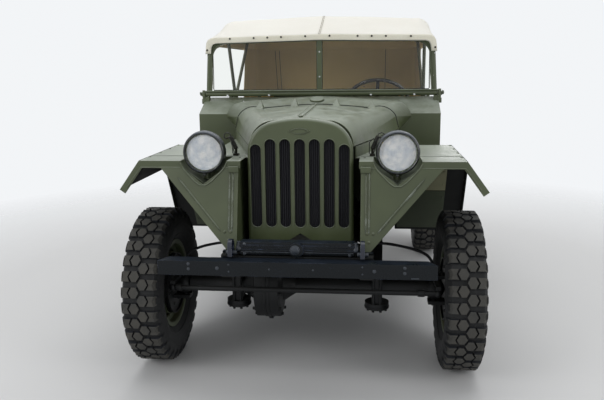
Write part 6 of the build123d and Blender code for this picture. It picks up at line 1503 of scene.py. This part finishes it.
def pad_form(half, depth, height):
    """A block with round upright edges and eased rims, in its own place."""
    form = Form()
    form.block((-half, 0, 0), (half, depth, height))
    axis = 2 if height < depth else 1
    reach = 0.5 * (depth, height)[axis - 1]
    upright = [edge for edge in form.mesh.edges
               if abs((edge.verts[0].co - edge.verts[1].co)[axis]) > reach]
    bmesh.ops.bevel(form.mesh, geom=upright, offset=PAD_CORNER, segments=6, affect="EDGES", profile=0.5)
    rims = [edge for edge in form.mesh.edges if edge.calc_face_angle(0.0) > 0.8]
    bmesh.ops.bevel(form.mesh, geom=rims, offset=0.012, segments=3, affect="EDGES", profile=0.5)
    return form


def frozen(made):
    """The mesh of an object with its modifiers applied; the object goes away."""
    shape = bpy.data.meshes.new_from_object(made.evaluated_get(bpy.context.evaluated_depsgraph_get()))
    bpy.data.objects.remove(made)
    return shape


def inflated(mesh, voxel):
    """The mesh, remeshed and blown up a little as a filled cover."""
    scene = bpy.context.scene
    bulk = add_object("bulk", mesh)
    grid = bulk.modifiers.new("grid", "REMESH")
    grid.mode, grid.voxel_size = "VOXEL", voxel
    shape = frozen(bulk)
    soft = add_object("soft", shape)
    cloth = soft.modifiers.new("cloth", "CLOTH")
    cloth.settings.use_pressure = True
    cloth.settings.uniform_pressure_force = 4.0
    cloth.settings.quality = 5
    cloth.settings.effector_weights.gravity = 0.0
    cloth.point_cache.frame_start, cloth.point_cache.frame_end = 1, PAD_FILL_FRAMES
    for number in range(1, PAD_FILL_FRAMES + 1):
        scene.frame_set(number)
    blown = frozen(soft)
    for vertex, start in zip(blown.vertices, shape.vertices):
        move = vertex.co - start.co
        if move.length > PAD_SWELL:
            vertex.co = start.co + move * (PAD_SWELL / move.length)
    scene.frame_set(1)
    return blown


def seats():
    """Filled pads with piping round their edges and a seam across."""
    for name, middle_x, half, front_y, base_z, depth, height, lean, voxel in SEAT_PADS:
        flat = height < depth
        form = pad_form(half, depth, height)
        middle = Vector((0, depth / 2, height / 2))
        for vertex in form.mesh.verts:
            vertex.co = middle + (vertex.co - middle) * (CUSHION_START if flat else BACK_START)
        mesh = bpy.data.meshes.new(name)
        form.mesh.to_mesh(mesh)
        form.mesh.free()
        mesh = inflated(mesh, voxel)
        low = Vector((-half - PAD_MARGIN, -PAD_MARGIN, 0.0 if flat else -PAD_MARGIN))
        high = Vector((half + PAD_MARGIN, depth + (PAD_MARGIN if flat else 0.0), height + PAD_MARGIN))
        for vertex in mesh.vertices:
            vertex.co = [min(max(vertex.co[k], low[k]), high[k]) for k in range(3)]
        tree = BVHTree.FromPolygons([vertex.co for vertex in mesh.vertices],
                                    [tuple(face.vertices) for face in mesh.polygons])
        place = Matrix.Translation((middle_x, front_y, base_z)) @ Matrix.Rotation(radians(-lean), 4, "X")
        mesh.transform(place)
        mesh.materials.clear()
        mesh.materials.append(MATERIALS["seat"])
        mesh.polygons.foreach_set("use_smooth", [True] * len(mesh.polygons))
        pad = add_piece(name, mesh, "body")
        pad.modifiers.new("finer", "SUBSURF").render_levels = 1
        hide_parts("seat_cushions")
        piping(name, tree, half, depth, height, place)


def piping(name, tree, half, depth, height, place):
    """Cord sewn into the edges, laid on the pad's own surface."""
    form, flat = Form(), height < depth
    reach, thick = (depth, height) if flat else (height, depth)

    def laid(x, along, level, proud):
        """The place on the pad that is nearest to a spot beside it."""
        near, normal, _, _ = tree.find_nearest(Vector((x, along, level) if flat else (x, level, along)))
        return place @ (near + normal * proud)

    outline = rounded_line([(0, 0), (half, 0), (half, reach), (-half, reach), (-half, 0), (0, 0)], 0.042, 120)
    for level in (0.30 if flat else 0.18, 0.80):
        form.tube([laid(point.x, point.y, level * thick, 0.0012) for point in outline[:-1]], 0.0034, 6,
                  closed=True)
    beside = height + 0.05 if flat else -0.05
    shares = [0.06 + 0.88 * step / 24 for step in range(25)]
    for x in ((0.0,) if half < 0.3 else (-BENCH_SEAM_X, BENCH_SEAM_X)):
        form.tube([laid(x, share * reach, beside, 0.0002) for share in shares], 0.0020, 6)
    form.piece("piping_" + name, "seat_edge", "seat_cover")


# Stage, camera and lights
FLOOR_RADIUS = 9.0
FLOOR_FADE = (2.2, 4.6)
# Soft boxes: name, place, aim, width, height, power
LAMPS = (
    ("overhead", (0.0, 0.2, 5.2), (0.0, -0.2, 0.8), 6.0, 6.0, 152.0),
    ("front_left", (-4.6, -5.2, 3.2), (0.0, -0.8, 0.9), 3.4, 2.6, 115.0),
    ("front_right", (5.0, -3.6, 2.6), (0.0, -0.8, 0.9), 2.6, 2.6, 70.0),
    ("behind", (0.0, 6.4, 3.4), (0.0, 0.5, 1.0), 5.0, 2.6, 130.0),
)
WORLD_COLOUR = (0.96, 0.98, 1.0, 1.0)
WORLD_LIGHT = 0.42
WORLD_SEEN = 0.93


def stage():
    """A pale floor that fades into the background."""
    form = bmesh.new()
    bmesh.ops.create_circle(form, cap_ends=True, segments=96, radius=FLOOR_RADIUS)
    mesh = bpy.data.meshes.new("floor")
    form.to_mesh(mesh)
    form.free()
    s = Shader("floor", rgb(214, 214, 214), 0.9)
    far = s.add("VectorMath", {0: s.place}, operation="LENGTH").outputs["Value"]
    under = s.add("NewGeometry").outputs["Backfacing"]
    s.clear_where(s.larger(s.ramp(far, *FLOOR_FADE), under))
    mesh.materials.append(s.material)
    add_object("floor", mesh)


def camera():
    data = bpy.data.cameras.new("camera")
    data.lens = CAMERA_LENS
    data.clip_end = 200.0
    made = add_object("camera", data)
    turn = (Matrix.Rotation(radians(CAMERA_YAW), 4, "Z") @ Matrix.Rotation(radians(90 + CAMERA_PITCH), 4, "X")
            @ Matrix.Rotation(radians(CAMERA_ROLL), 4, "Z"))
    made.matrix_world = Matrix.Translation(CAMERA_PLACE) @ turn
    bpy.context.scene.camera = made


def lights():
    """Soft boxes, and a world that looks brighter than the light it gives."""
    for name, place, aim, width, height, power in LAMPS:
        data = bpy.data.lights.new(name, "AREA")
        data.shape = "RECTANGLE"
        data.size, data.size_y, data.energy = width, height, power
        turn = (Vector(aim) - Vector(place)).to_track_quat("-Z", "Y").to_matrix().to_4x4()
        add_object(name, data).matrix_world = Matrix.Translation(place) @ turn
    world = bpy.data.worlds.new("world")
    bpy.context.scene.world = world
    world.use_nodes = True
    tree = world.node_tree
    tree.nodes.clear()
    path = add_node(tree, "LightPath").outputs
    shown = path["Is Camera Ray"]
    for kind in ("Transmission", "Glossy"):
        shown = add_node(tree, "Math", {0: shown, 1: path[f"Is {kind} Ray"]}, operation="MAXIMUM").outputs[0]
    level = add_node(tree, "MapRange", {0: shown, 3: WORLD_LIGHT, 4: WORLD_SEEN})
    background = add_node(tree, "Background", {0: WORLD_COLOUR, 1: level.outputs[0]})
    add_node(tree, "OutputWorld", {0: background.outputs[0]})
    bpy.context.scene.view_settings.view_transform = "Standard"


stage()
camera()
lights()
finish_nodes()
for build in (brake_hoses, tyres, headlamps, grille, hood_trim, hood_catches, hood_seam, engine_head,
              engine_fan, fenders, fender_linings, mud_plates, bumper_fasteners, hook_pins, screen_trim,
              screen_seal, screen_screws, dash_dials, steering_boss, wheel_trim, axle_bolts, knuckle_bolts,
              tie_rod_clamps, tub_trim, tail_trim, bow_trim, seats, canopy):
    build()
